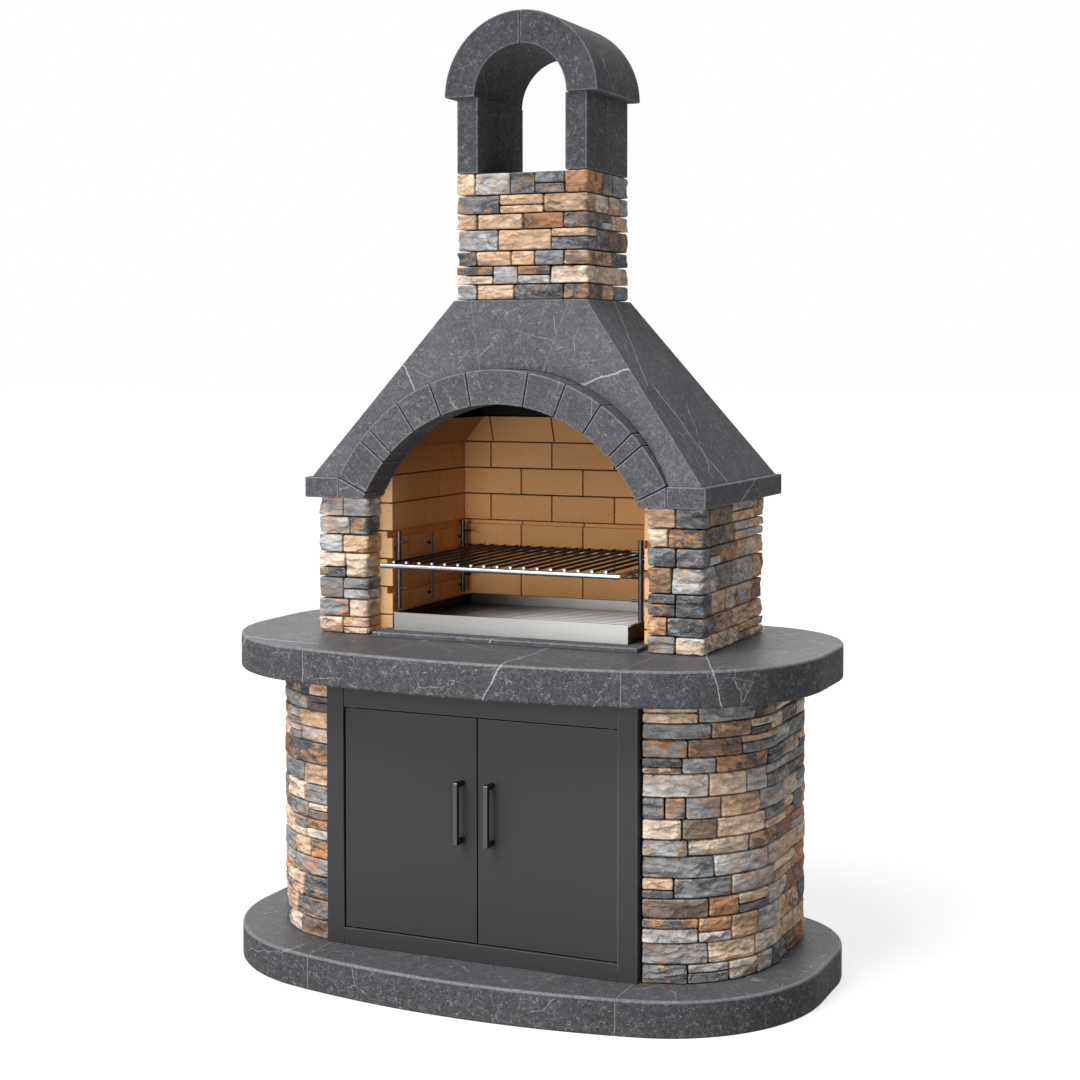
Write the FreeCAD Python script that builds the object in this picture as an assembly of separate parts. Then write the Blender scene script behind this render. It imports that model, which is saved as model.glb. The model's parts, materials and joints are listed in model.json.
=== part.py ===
import FreeCAD, Part
import math
import os
import random

# Masonry barbecue: cabinet, counter, firebox, hood and chimney.
# Millimetres, +Z up, front towards -Y, origin under the middle of the base slab.

# Slabs of the base and the counter, both with the same outline
slab_half_width = 712.0
slab_depth = 813.0
slab_front_radius = 1865.0
slab_front_corner_radius = 378.0
slab_back_corner_radius = 270.0
base_thickness = 80.0
counter_thickness = 80.0
base_joint_x = 371.0
counter_joint_x = 382.0
end_joint_y = 42.0
fine_joint = 0.8

# Cabinet walls
cabinet_height = 612.0
wall_side_setback = 100.0
wall_back_setback = 30.0
wall_front_corner_radius = 266.0
least_straight = 1.0
wall_back_corner_radius = 190.0
base_core_thickness = 90.0
base_stone_thickness = 30.0
stone_bed = 0.6

# Ledge stones
stone_joint = 3.0
stone_shortest = 62.0
stone_longest = 165.0
stone_short_margin = 18.0
stone_long_margin = 12.0
stone_relief = 4.0
split_share = 0.2
base_course = 43.0
pillar_course = 46.0
chimney_course = 45.0
corner_long_arm = 105.0
corner_short_arm = 56.0

# Door frame of steel box section
frame_half_width = 380.0
frame_front_setback = 142.5
frame_stone_reveal = 7.5
frame_side_gap = 1.0
frame_depth = 40.0
frame_wall = 3.0
stile_width = 44.0
bottom_rail_height = 38.7
top_rail_height = 65.0
anchor_width = 30.0
anchor_length = 80.0
anchor_thickness = 4.0
anchor_levels = (150.0, 460.0)
bolt_radius = 4.0
bolt_head_radius = 7.0
bolt_head_height = 5.0
bolt_length = 50.0
bolt_end_gap = 2.0
bolt_clearance = 0.3

# Doors
door_gap = 3.5
door_thickness = 20.0
door_recess = 4.0
door_sheet = 2.0
pivot_inset = 16.0
pin_radius = 4.0
pin_clearance = 0.06
pin_seat_clearance = 0.1
pin_reach = 18.0
collar_radius = 8.0
collar_clearance = 0.3
bush_wall = 3.0
bush_length = 24.0
handle_offset = 37.0
handle_bottom = 265.0
handle_length = 139.0
handle_section = 12.0
handle_projection = 38.0
screw_radius = 2.5
screw_depth = 14.0
screw_clearance = 0.2
screw_head_radius = 4.5
screw_head_height = 3.0
catch_width = 40.0
catch_depth = 16.0
catch_height = 20.0
catch_offset = 60.0
catch_gap = 0.5

# Firebox
firebox_half_width = 318.0
firebox_depth = 391.0
porch_depth = 68.0
pillar_height = 322.0
pillar_core_thickness = 64.5
pillar_stone_thickness = 34.0
pillar_rear_return = 91.0
rear_setback = 9.5
rear_stone_thickness = 27.0
rear_core_thickness = 15.8
rear_inset = 41.7
brick_thickness = 64.0
brick_length = 168.0
brick_pitch = 66.0
brick_joint = 3.0
brick_rise = 117.0
tile_thickness = 22.0
tile_pocket_cover = 9.0
leaning_rows = 1
groove_courses = (1, 2, 3)
groove_height = 15.0
groove_depth = 15.0
rear_groove_height = 9.0
rear_groove_depth = 8.0
lining_rise = 66.0
hearth_thickness = 11.0
hearth_nose = 12.0
hearth_front_inset = 17.0
hearth_gap = 1.0

# Cornice, arch and hood
cornice_height = 48.0
cornice_side_overhang = 14.9
cornice_front_overhang = 32.9
cornice_back_overhang = 3.0
cornice_ledge = 12.0
cornice_joint_from_back = 178.0
hood_height = 412.0
hood_tier = 215.0
hood_top_lip = 9.1
hood_side_lip = 0.4
hood_thickness = 36.0
arch_joint = 2.6
hood_rear_thickness = 30.0
front_joint_top = 125.0
front_joint_foot = 80.0
arch_radius = 373.0
arch_thickness = 79.0
arch_depth = 100.0
spring_half_width = 341.0
keystone_half_angle = 9.9
voussoir_angle = 12.05
closer_angle = 4.5

# Chimney and its cap
chimney_half_width = 166.6
chimney_depth = 259.3
chimney_front_setback = 133.6
chimney_height = 295.0
chimney_stone_thickness = 30.0
flue_wall = 30.0
post_height = 176.0
post_width = 53.6
post_side_inset = 3.0
post_end_inset = 1.6
cap_radius = 192.0
cap_thickness = 76.6
cap_end_overhang = 8.2

# Grill rack, grate and charcoal tray
tray_clearance = 0.3
tray_half_width = 300.0
tray_front_setback = 30.0
tray_rear_gap = 13.0
tray_height = 42.0
tray_sheet = 2.0
tray_rim = 6.0
fire_bar_radius = 4.0
fire_bar_pitch = 24.0
fire_runner_height = 10.0
fire_runner_width = 8.0
fire_runner_inset = 60.0
fire_grate_gap = 8.0
rack_gap = 4.0
rack_height = 183.0
post_radius = 6.0
post_wall_gap = 6.0
rod_radius = 3.5
rod_drop = 18.0
front_post_offset = 10.0
rear_post_gap = 38.0
peg_radius = 3.0
peg_reach = 22.0
peg_levels = 3
peg_spacing = 55.0
standoff_radius = 3.0
standoff_levels = (18.0, 140.0)
grate_level = 168.0
grate_bar_radius = 6.0
grate_half_width = 298.0
grate_side_inset = 10.0
grate_front_reach = 25.0
grate_rear_gap = 21.0
rod_count = 17
rod_pitch = 33.0
grill_rod_radius = 3.2
rod_end_reach = 4.0
seat_clearance = 0.3
weld_gap = 0.05

# Levels from the ground up
counter_bottom = base_thickness + cabinet_height
counter_top = counter_bottom + counter_thickness
pillar_top = counter_top + pillar_height
cornice_top = pillar_top + cornice_height
hood_top = cornice_top + hood_height
chimney_top = hood_top + chimney_height
post_top = chimney_top + post_height
hearth_top = counter_top + hearth_thickness

# Plan lines from back to front
slab_back = slab_depth / 2
slab_front = -slab_depth / 2
rear_face = slab_back - rear_setback
rear_stone_inner = rear_face - rear_stone_thickness
rear_core_back = rear_stone_inner - stone_bed
rear_core_front = rear_core_back - rear_core_thickness
tile_back = rear_core_front - stone_bed
tile_front = tile_back - tile_thickness
brick_front = tile_front - firebox_depth
pillar_front = brick_front - porch_depth
pillar_back = rear_face - pillar_rear_return
frame_front = slab_front + frame_front_setback
frame_back = frame_front + frame_depth
wall_front = frame_front + frame_stone_reveal

# Plan lines from the middle outwards
brick_back = firebox_half_width + brick_thickness
stone_inner_face = brick_back - pillar_stone_thickness
core_inner = brick_back + stone_bed
core_outer = core_inner + pillar_core_thickness
pillar_half_width = core_outer + stone_bed + pillar_stone_thickness
rear_half_width = pillar_half_width - rear_inset
cornice_half_width = pillar_half_width + cornice_side_overhang
cornice_front = pillar_front - cornice_front_overhang
cornice_back = rear_face + cornice_back_overhang
cornice_joint_y = cornice_back - cornice_joint_from_back
chimney_front = cornice_front + chimney_front_setback
chimney_back = chimney_front + chimney_depth
arch_outer = arch_radius + arch_thickness
arch_centre = pillar_top - math.sqrt(arch_radius ** 2 - spring_half_width ** 2)
arch_end_angle = math.degrees(math.acos((cornice_top - arch_centre) / arch_outer))

os.makedirs("parts", exist_ok=True)


def vec(x, y, z=0.0):
    return FreeCAD.Vector(x, y, z)


def box(x0, x1, y0, y1, z0, z1):
    return Part.makeBox(x1 - x0, y1 - y0, z1 - z0, vec(x0, y0, z0))


def prism(points, z0, z1):
    """Upright prism over a plan polygon."""
    loop = [vec(x, y, z0) for x, y in points]
    face = Part.Face(Part.makePolygon(loop + loop[:1]))
    return face.extrude(vec(0, 0, z1 - z0))


def prism_y(points, y0, y1):
    """Prism along Y over a polygon of X and Z."""
    loop = [vec(x, y0, z) for x, z in points]
    face = Part.Face(Part.makePolygon(loop + loop[:1]))
    return face.extrude(vec(0, y1 - y0, 0))


def prism_x(points, x0, x1):
    """Prism along X over a polygon of Y and Z."""
    loop = [vec(x0, y, z) for y, z in points]
    face = Part.Face(Part.makePolygon(loop + loop[:1]))
    return face.extrude(vec(x1 - x0, 0, 0))


def rod(radius, start, end):
    return Part.makeCylinder(radius, (end - start).Length, start, end - start)


def mirrored(solids):
    return [solid.mirror(vec(0, 0, 0), vec(1, 0, 0)) for solid in solids]


def joined(solids):
    shape = solids[0].multiFuse(solids[1:]) if len(solids) > 1 else solids[0]
    return shape.removeSplitter()


def export(name, solids):
    """Write one sub-part, a single solid or a group of separate solids."""
    loose = [solid for shape in solids for solid in shape.Solids]
    shape = loose[0] if len(loose) == 1 else Part.makeCompound(loose)
    shape.exportStep("parts/" + name + ".step")


def wire_face(edges):
    return Part.Face(Part.Wire(edges))


def arc_edge(centre, radius, start, end):
    """Arc between two angles in radians, about a plan centre."""
    angles = (start, (start + end) / 2, end)
    points = [vec(centre[0] + radius * math.cos(a), centre[1] + radius * math.sin(a)) for a in angles]
    return Part.Arc(*points).toShape()


def line_edge(start, end):
    return Part.LineSegment(vec(*start), vec(*end)).toShape()


# Slabs

def slab_outline():
    """Bowed front, rounded corners, straight back."""
    reach = slab_half_width - slab_front_corner_radius
    bow_centre = slab_front + slab_front_radius
    drop = math.sqrt((slab_front_radius - slab_front_corner_radius) ** 2 - reach ** 2)
    corner_y = bow_centre - drop
    turn = math.atan2(-drop, reach)
    back_x = slab_half_width - slab_back_corner_radius
    back_y = slab_back - slab_back_corner_radius
    right = math.pi / 2
    return wire_face([
        arc_edge((0, bow_centre), slab_front_radius, -math.pi - turn, turn),
        arc_edge((reach, corner_y), slab_front_corner_radius, turn, 0),
        line_edge((slab_half_width, corner_y), (slab_half_width, back_y)),
        arc_edge((back_x, back_y), slab_back_corner_radius, 0, right),
        line_edge((back_x, slab_back), (-back_x, slab_back)),
        arc_edge((-back_x, back_y), slab_back_corner_radius, right, 2 * right),
        line_edge((-slab_half_width, back_y), (-slab_half_width, corner_y)),
        arc_edge((-reach, corner_y), slab_front_corner_radius, math.pi, math.pi * 2 - math.pi - turn),
    ])


def slab_pieces(bottom, thickness, joint_x):
    """Centre length, and ends parted into a front and a rear piece."""
    face = slab_outline()
    face.translate(vec(0, 0, bottom))
    slab = face.extrude(vec(0, 0, thickness))
    half = fine_joint / 2
    top = bottom + thickness
    far = slab_half_width + slab_depth
    centre = slab.common(box(-joint_x + half, joint_x - half, -far, far, bottom, top))
    end = slab.common(box(joint_x + half, far, -far, far, bottom, top))
    end = end.cut(box(0, far, end_joint_y - half, end_joint_y + half, bottom, top))
    return centre, end


def make_slabs():
    for name, bottom, thickness, joint_x in (
        ("base_slab", 0.0, base_thickness, base_joint_x),
        ("counter_slab", counter_bottom, counter_thickness, counter_joint_x),
    ):
        centre, end = slab_pieces(bottom, thickness, joint_x)
        export(name + "_centre", [centre])
        export(name + "_right", [end])
        export(name + "_left", mirrored(end.Solids))


# Ledge stones laid along a plan path with the weather side on its right

class WallPath:
    """Plan path of straight lines and arcs, measured by its length."""

    def __init__(self):
        self.pieces = []
        self.length = 0.0
        self.corners = []

    def line(self, start, end):
        size = math.dist(start, end)
        heading = ((end[0] - start[0]) / size, (end[1] - start[1]) / size)
        if self.pieces:
            before = self.normal(self.pieces[-1], self.pieces[-1]["size"])
            if before[0] * heading[1] - before[1] * heading[0] < 0.99:
                self.corners.append(self.length)
        self.pieces.append({"start": start, "heading": heading, "size": size, "from": self.length})
        self.length += size
        return self

    def arc(self, centre, radius, start, end):
        size = radius * (end - start)
        piece = {"centre": centre, "radius": radius, "angle": start, "size": size, "from": self.length}
        self.pieces.append(piece)
        self.length += size
        return self

    @staticmethod
    def point(piece, along):
        if "centre" in piece:
            angle = piece["angle"] + along / piece["radius"]
            x = piece["centre"][0] + piece["radius"] * math.cos(angle)
            return x, piece["centre"][1] + piece["radius"] * math.sin(angle)
        return tuple(piece["start"][i] + piece["heading"][i] * along for i in (0, 1))

    @staticmethod
    def normal(piece, along):
        if "centre" in piece:
            angle = piece["angle"] + along / piece["radius"]
            return math.cos(angle), math.sin(angle)
        return piece["heading"][1], -piece["heading"][0]

    def stretch(self, start, end):
        """Pieces of the path between two lengths, as (piece, from, to)."""
        found = []
        for piece in self.pieces:
            low = max(start - piece["from"], 0.0)
            high = min(end - piece["from"], piece["size"])
            if high - low > 0.01:
                found.append((piece, low, high))
        return found

    def offset_edges(self, start, end, inset):
        """Edges of the stretch, set back from the path, and their first and last points."""
        parts = self.stretch(start, end)
        stops = []
        for index, (piece, low, high) in enumerate(parts):
            begin = self.normal(piece, low)
            if index:
                before = self.normal(parts[index - 1][0], parts[index - 1][2])
                share = 1 + before[0] * begin[0] + before[1] * begin[1]
                begin = ((before[0] + begin[0]) / share, (before[1] + begin[1]) / share)
            place = self.point(piece, low)
            stops.append((place[0] - inset * begin[0], place[1] - inset * begin[1]))
        piece, low, high = parts[-1]
        place, side = self.point(piece, high), self.normal(piece, high)
        stops.append((place[0] - inset * side[0], place[1] - inset * side[1]))
        edges = []
        for (piece, low, high), first, last in zip(parts, stops, stops[1:]):
            if "centre" in piece:
                begin, finish = (piece["angle"] + along / piece["radius"] for along in (low, high))
                edges.append(arc_edge(piece["centre"], piece["radius"] - inset, begin, finish))
            else:
                edges.append(line_edge(first, last))
        return edges, stops[0], stops[-1]

    def stone(self, start, end, inset, thickness, z0, z1):
        outer, outer_start, outer_end = self.offset_edges(start, end, inset)
        inner, inner_start, inner_end = self.offset_edges(start, end, thickness)
        loop = outer + [line_edge(outer_end, inner_end)] + inner[::-1]
        face = wire_face(Part.sortEdges(loop + [line_edge(inner_start, outer_start)])[0])
        face.translate(vec(0, 0, z0))
        return face.extrude(vec(0, 0, z1 - z0))


def course_levels(bottom, height, course, seed):
    """Levels of uneven courses that fill the height."""
    chance = random.Random(seed)
    count = max(2, round(height / course))
    weights = [chance.uniform(0.74, 1.26) for _ in range(count)]
    levels = [bottom]
    for weight in weights:
        levels.append(levels[-1] + height * weight / sum(weights))
    return levels


def fill_span(start, end, chance):
    """Uneven stone lengths between two places."""
    room = end - start
    short_usual = stone_shortest + stone_short_margin
    long_usual = (stone_shortest + stone_longest) / 2 + stone_long_margin
    count = max(1, round(room / chance.uniform(short_usual, long_usual)))
    weights = [chance.uniform(stone_shortest, stone_longest) for _ in range(count)]
    places = [start]
    for weight in weights:
        places.append(places[-1] + room * weight / sum(weights))
    return list(zip(places, places[1:]))


def course_spans(path, row, chance):
    """Spans of one course: stones that turn each corner, and the stretches between."""
    spans = []
    cursor = 0.0
    for number, corner in enumerate(path.corners):
        arms = (corner_long_arm, corner_short_arm)
        before, after = arms if (row + number) % 2 else arms[::-1]
        start = corner - before * chance.uniform(0.85, 1.1)
        end = corner + after * chance.uniform(0.85, 1.1)
        if start - cursor < stone_shortest * 0.7:
            start = cursor
        else:
            spans += fill_span(cursor, start, chance)
        if number + 1 == len(path.corners) and path.length - end < stone_shortest * 0.7:
            end = path.length
        elif number + 1 < len(path.corners):
            end = min(end, (corner + path.corners[number + 1]) / 2)
        spans.append((start, end))
        cursor = end
    if path.length - cursor > 1.0:
        spans += fill_span(cursor, path.length, chance)
    return spans


def lay_stones(path, levels, thickness, seed):
    """Stones of a faced wall, course by course."""
    chance = random.Random(seed)
    half = stone_joint / 2
    stones = []
    for row, (low, high) in enumerate(zip(levels, levels[1:])):
        for start, end in course_spans(path, row, chance):
            relief = chance.choice((0.0, 0.35, 0.7, 1.0)) * stone_relief
            cuts = [low, high]
            if chance.random() < split_share and high - low > 8 * stone_joint:
                cuts.insert(1, low + (high - low) * chance.uniform(0.4, 0.6))
            for z0, z1 in zip(cuts, cuts[1:]):
                stones.append(path.stone(start + half, end - half, relief, thickness, z0 + half, z1 - half))
                relief = chance.choice((0.0, 0.5, 1.0)) * stone_relief
    return stones


# Cabinet walls and their facing

wall_half_width = slab_half_width - wall_side_setback
wall_back = slab_back - wall_back_setback
wall_corner_x = wall_half_width - wall_front_corner_radius
wall_corner_y = wall_front + wall_front_corner_radius
back_corner_x = wall_half_width - wall_back_corner_radius
back_corner_y = wall_back - wall_back_corner_radius


def cabinet_side_path():
    """Right side of the cabinet, from the door frame round to the back."""
    start_x = frame_half_width + frame_side_gap
    bare = wall_front_corner_radius - base_stone_thickness
    path = WallPath()
    first = -math.pi / 2
    if wall_corner_x > start_x + least_straight:
        path.line((start_x, wall_front), (wall_corner_x, wall_front))
    else:
        first += math.asin((start_x - wall_corner_x) / bare)
    path.arc((wall_corner_x, wall_corner_y), wall_front_corner_radius, first, 0.0)
    path.line((wall_half_width, wall_corner_y), (wall_half_width, back_corner_y))
    path.arc((back_corner_x, back_corner_y), wall_back_corner_radius, 0.0, math.pi / 2)
    return path


def rounded_plan(inset):
    """Plan of the cabinet set back from the faces of its stones."""
    front_radius = wall_front_corner_radius - inset
    back_radius = wall_back_corner_radius - inset
    side = wall_half_width - inset
    right = math.pi / 2
    front_y = wall_front + inset
    back_y = wall_back - inset
    return wire_face([
        line_edge((-wall_corner_x, front_y), (wall_corner_x, front_y)),
        arc_edge((wall_corner_x, wall_corner_y), front_radius, -right, 0),
        line_edge((side, wall_corner_y), (side, back_corner_y)),
        arc_edge((back_corner_x, back_corner_y), back_radius, 0, right),
        line_edge((back_corner_x, back_y), (-back_corner_x, back_y)),
        arc_edge((-back_corner_x, back_corner_y), back_radius, right, 2 * right),
        line_edge((-side, back_corner_y), (-side, wall_corner_y)),
        arc_edge((-wall_corner_x, wall_corner_y), front_radius, 2 * right, 3 * right),
    ])


def anchor_spots():
    """Heights of the frame anchors, and how far back their bolts sit."""
    heights = [base_thickness + level for level in anchor_levels]
    return heights, frame_back + anchor_length * 0.6


def make_cabinet_walls():
    inset = base_stone_thickness + stone_bed
    low, high = base_thickness, counter_bottom
    ring = rounded_plan(inset).cut(rounded_plan(inset + base_core_thickness))
    ring.translate(vec(0, 0, low))
    ring = ring.extrude(vec(0, 0, high - low))
    far = slab_half_width + slab_depth
    door_way = frame_half_width + frame_side_gap
    ring = ring.cut(box(-door_way, door_way, -far, wall_corner_y, low, high))
    middle = box(-back_corner_x, back_corner_x, wall_corner_y, far, low, high)
    side = ring.cut(middle).common(box(0, far, -far, far, low, high))
    heights, bolt_y = anchor_spots()
    for height in heights:
        start = vec(door_way - 1, bolt_y, height)
        end = vec(door_way + bolt_length, bolt_y, height)
        side = side.cut(rod(bolt_radius + bolt_clearance, start, end))
    export("right_base_wall", [side])
    export("left_base_wall", mirrored(side.Solids))
    export("rear_base_wall", [ring.common(middle)])
    levels = course_levels(low, cabinet_height, base_course, 11)
    path = cabinet_side_path()
    export("right_base_stones", lay_stones(path, levels, base_stone_thickness, 21))
    export("left_base_stones", mirrored(lay_stones(path, levels, base_stone_thickness, 22)))
    rear = WallPath().line((back_corner_x, wall_back), (-back_corner_x, wall_back))
    export("rear_base_stones", lay_stones(rear, levels, base_stone_thickness, 23))


# Door frame, doors and their fittings

opening_half_width = frame_half_width - stile_width
opening_low = base_thickness + bottom_rail_height
opening_high = counter_bottom - top_rail_height
door_front = frame_front + door_recess
door_back = door_front + door_thickness
door_outer = opening_half_width - door_gap
door_inner = door_gap / 2
door_low = opening_low + door_gap
door_high = opening_high - door_gap
pivot_x = door_outer - pivot_inset
pivot_y = (door_front + door_back) / 2


def pin_spots():
    return [(side * pivot_x, pivot_y) for side in (-1, 1)]


def make_door_frame():
    wall = frame_wall
    low, high = base_thickness, counter_bottom
    members = []
    for side in (-1, 1):
        x0, x1 = sorted((side * opening_half_width, side * frame_half_width))
        stile = box(x0, x1, frame_front, frame_back, low, high)
        members.append(stile.cut(box(x0 + wall, x1 - wall, frame_front + wall, frame_back - wall, low, high)))
    for z0, z1 in ((low, opening_low), (opening_high, high)):
        half = opening_half_width
        rail = box(-half, half, frame_front, frame_back, z0, z1)
        rail = rail.cut(box(-half, half, frame_front + wall, frame_back - wall, z0 + wall, z1 - wall))
        for x, y in pin_spots():
            seat = pin_radius + pin_seat_clearance
            z_seat = z1 - wall if z0 == low else z0
            rail = rail.cut(rod(seat, vec(x, y, z_seat), vec(x, y, z_seat + wall)))
        members.append(rail)
    export("door_frame", members)


def make_hinge_pins():
    pins = []
    for x, y in pin_spots():
        for level, way in ((opening_low, 1), (opening_high, -1)):
            root = vec(x, y, level - way * frame_wall)
            seat = vec(x, y, level)
            tip = vec(x, y, level + way * (door_gap + pin_reach))
            face = vec(x, y, level + way * (door_gap - collar_clearance))
            pins.append(joined([rod(pin_radius, root, tip), rod(collar_radius, seat, face)]))
    export("hinge_pins", pins)


def make_frame_anchors():
    pieces = []
    heights, bolt_y = anchor_spots()
    outer = frame_half_width + frame_side_gap
    inner = outer - anchor_thickness
    for height in heights:
        strap = box(inner, outer, frame_back, frame_back + anchor_length,
                    height - anchor_width / 2, height + anchor_width / 2)
        hole = bolt_radius + bolt_clearance
        pieces.append(strap.cut(rod(hole, vec(inner, bolt_y, height), vec(outer, bolt_y, height))))
        head_end = vec(inner - bolt_head_height, bolt_y, height)
        head = rod(bolt_head_radius, head_end, vec(inner, bolt_y, height))
        tip = outer + bolt_length - bolt_end_gap
        shank = rod(bolt_radius, vec(inner, bolt_y, height), vec(tip, bolt_y, height))
        pieces.append(joined([head, shank]))
    export("frame_anchors", pieces + mirrored(pieces))


def make_door_catches():
    z0 = opening_high - catch_height
    y0 = door_back + catch_gap
    x0 = catch_offset - catch_width / 2
    catch = box(x0, x0 + catch_width, y0, y0 + catch_depth, z0, opening_high)
    export("door_catches", [catch] + mirrored([catch]))


def handle_screw_levels():
    low = base_thickness + handle_bottom
    return [low + handle_section / 2, low + handle_length - handle_section / 2]


def make_doors():
    """Right door with its handle; the left one is its mirror image."""
    sheet = door_sheet
    pan = box(door_inner, door_outer, door_front, door_back, door_low, door_high)
    pan = pan.cut(box(door_inner + sheet, door_outer - sheet, door_front + sheet, door_back,
                      door_low + sheet, door_high - sheet))
    bore = pin_radius + pin_clearance
    for start, way in ((door_low, 1), (door_high, -1)):
        foot = vec(pivot_x, pivot_y, start)
        bush = rod(bore + bush_wall, foot, vec(pivot_x, pivot_y, start + way * bush_length))
        pan = joined([pan, bush])
    for start, way in ((door_low, 1), (door_high, -1)):
        foot = vec(pivot_x, pivot_y, start)
        pan = pan.cut(rod(bore, foot, vec(pivot_x, pivot_y, start + way * bush_length)))
    x0 = handle_offset - handle_section / 2
    x1 = handle_offset + handle_section / 2
    low = base_thickness + handle_bottom
    grip_front = door_front - handle_projection
    handle = box(x0, x1, grip_front, door_front, low, low + handle_length)
    handle = handle.cut(box(x0, x1, grip_front + handle_section, door_front,
                            low + handle_section, low + handle_length - handle_section))
    screws = []
    for level in handle_screw_levels():
        inside = vec(handle_offset, door_front + sheet, level)
        tip = vec(handle_offset, door_front - screw_depth, level)
        hole = rod(screw_radius + screw_clearance, inside, vec(tip.x, tip.y - screw_clearance, level))
        pan = pan.cut(hole)
        handle = handle.cut(hole)
        head_top = vec(handle_offset, door_front + sheet + screw_head_height, level)
        screws.append(joined([rod(screw_radius, inside, tip), rod(screw_head_radius, inside, head_top)]))
    export("right_door_panel", [pan])
    export("left_door_panel", mirrored(pan.Solids))
    export("right_door_handle", [handle] + screws)
    export("left_door_handle", mirrored(handle.Solids + screws))


# Hood planes, needed by the firebox lining under them

hood_foot_half_width = cornice_half_width - cornice_ledge
hood_foot_front = cornice_front + cornice_ledge
hood_foot_back = cornice_back - cornice_ledge
hood_top_half_width = chimney_half_width + hood_side_lip
hood_top_front = chimney_front - hood_top_lip
hood_top_back = chimney_back + hood_top_lip


def slant(foot, top, level):
    return foot + (top - foot) * (level - cornice_top) / hood_height


def across(thickness, foot, top):
    """Thickness of a slanted slab measured level."""
    return thickness * math.hypot(1.0, (top - foot) / hood_height)


hood_side_across = across(hood_thickness, hood_foot_half_width, hood_top_half_width)
hood_front_across = across(hood_thickness, hood_foot_front, hood_top_front)
hood_rear_across = across(hood_rear_thickness, hood_foot_back, hood_top_back)


def hood_inside_x(level):
    return slant(hood_foot_half_width, hood_top_half_width, level) - hood_side_across


def hood_outside_back(level):
    return slant(hood_foot_back, hood_top_back, level)


# Firebox walls

brick_total = pillar_height + brick_rise
full_courses = int((brick_total - brick_pitch / 3) // brick_pitch)
first_course = brick_total - full_courses * brick_pitch
bed_levels = [counter_top] + [counter_top + first_course + i * brick_pitch for i in range(full_courses + 1)]


def side_courses():
    """Side courses that stay clear of the sloping hood."""
    fits = [i for i in range(len(bed_levels) - 1) if hood_inside_x(bed_levels[i + 1]) > brick_back]
    return len(fits)


def tile_courses():
    """Rear courses that the hood can take in a pocket of its rear slab."""
    deepest = tile_back + stone_bed + tile_pocket_cover
    fits = [i for i in range(len(bed_levels) - 1) if hood_outside_back(bed_levels[i + 1]) > deepest]
    return len(fits)


def leaning_back(level):
    """Rear face of the tiles that lie against the slope of the hood."""
    return hood_outside_back(level) - tile_pocket_cover - stone_bed


def leaning_front(level):
    return leaning_back(level) - across(tile_thickness, hood_foot_back, hood_top_back)


def leaning_courses():
    """Bottom, top and half width of each leaning course, above the upright ones."""
    foot = bed_levels[tile_courses()]
    beds = [foot + i * brick_pitch for i in range(leaning_rows + 1)]
    halves = [min(brick_back, hood_inside_x(high) - stone_bed) for high in beds[1:]]
    return list(zip(beds, beds[1:], halves))


def brick_spans(start, end, first):
    """Bricks of one course, the first one cut to break the joints."""
    places = [start]
    step = first
    while end - places[-1] > step + brick_length / 4:
        places.append(places[-1] + step)
        step = brick_length
    places.append(end)
    return list(zip(places, places[1:]))


def make_side_bricks():
    bricks = []
    for row in range(side_courses()):
        low = bed_levels[row]
        high = bed_levels[row + 1] - brick_joint
        first = brick_length * (0.5 if row % 2 else 1.0)
        for y0, y1 in brick_spans(brick_front, tile_front, first):
            brick = box(firebox_half_width, brick_back, y0, y1 - brick_joint, low, high)
            if row in groove_courses:
                lip = firebox_half_width + groove_depth
                brick = brick.cut(box(firebox_half_width, lip, y0, y1, high - groove_height, high))
            bricks.append(brick)
    export("right_firebricks", bricks)
    export("left_firebricks", mirrored(bricks))


def make_rear_tiles():
    tiles = []
    for row in range(tile_courses()):
        low = bed_levels[row]
        high = bed_levels[row + 1] - brick_joint
        first = brick_length * (0.32 if row % 2 else 0.82)
        for x0, x1 in brick_spans(-brick_back, brick_back, first):
            tile = box(x0, x1 - brick_joint, tile_front, tile_back, low, high)
            if row == max(groove_courses):
                lip = tile_front + rear_groove_depth
                tile = tile.cut(box(x0, x1, tile_front, lip, high - rear_groove_height, high))
            tiles.append(tile)
    for row, (low, bed, half) in enumerate(leaning_courses(), tile_courses()):
        high = bed - brick_joint
        loop = [(leaning_front(low), low), (leaning_back(low), low)]
        loop += [(leaning_back(high), high), (leaning_front(high), high)]
        for x0, x1 in brick_spans(-half, half, brick_length * (0.58 if row % 2 else 0.9)):
            tiles.append(prism_x(loop, x0, x1 - brick_joint))
    export("rear_fire_tiles", tiles)


def make_linings():
    low = bed_levels[side_courses()] - brick_joint
    high = low + lining_rise
    outer = min(brick_back, hood_inside_x(low) - stone_bed)
    loop = [(firebox_half_width, low), (outer, low), (hood_inside_x(high) - stone_bed, high)]
    loop.append((firebox_half_width - lining_rise, high))
    lining = prism_y(loop, brick_front, tile_front - brick_joint)
    behind = [(leaning_front(level) - brick_joint, level) for level in (low, high)]
    behind += [(tile_back, high), (tile_back, low)]
    lining = lining.cut(prism_x(behind, 0, brick_back))
    export("hood_lining_right", lining.Solids)
    export("hood_lining_left", mirrored(lining.Solids))


def make_hearth():
    front = pillar_front - hearth_nose
    wide = stone_inner_face - hearth_front_inset
    narrow = firebox_half_width - hearth_gap
    step = brick_front - hearth_gap
    back = tile_front - hearth_gap
    loop = [(-wide, front), (wide, front), (wide, step), (narrow, step), (narrow, back)]
    loop += [(-narrow, back), (-narrow, step), (-wide, step)]
    export("hearth_slab", [prism(loop, counter_top, hearth_top)])


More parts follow.
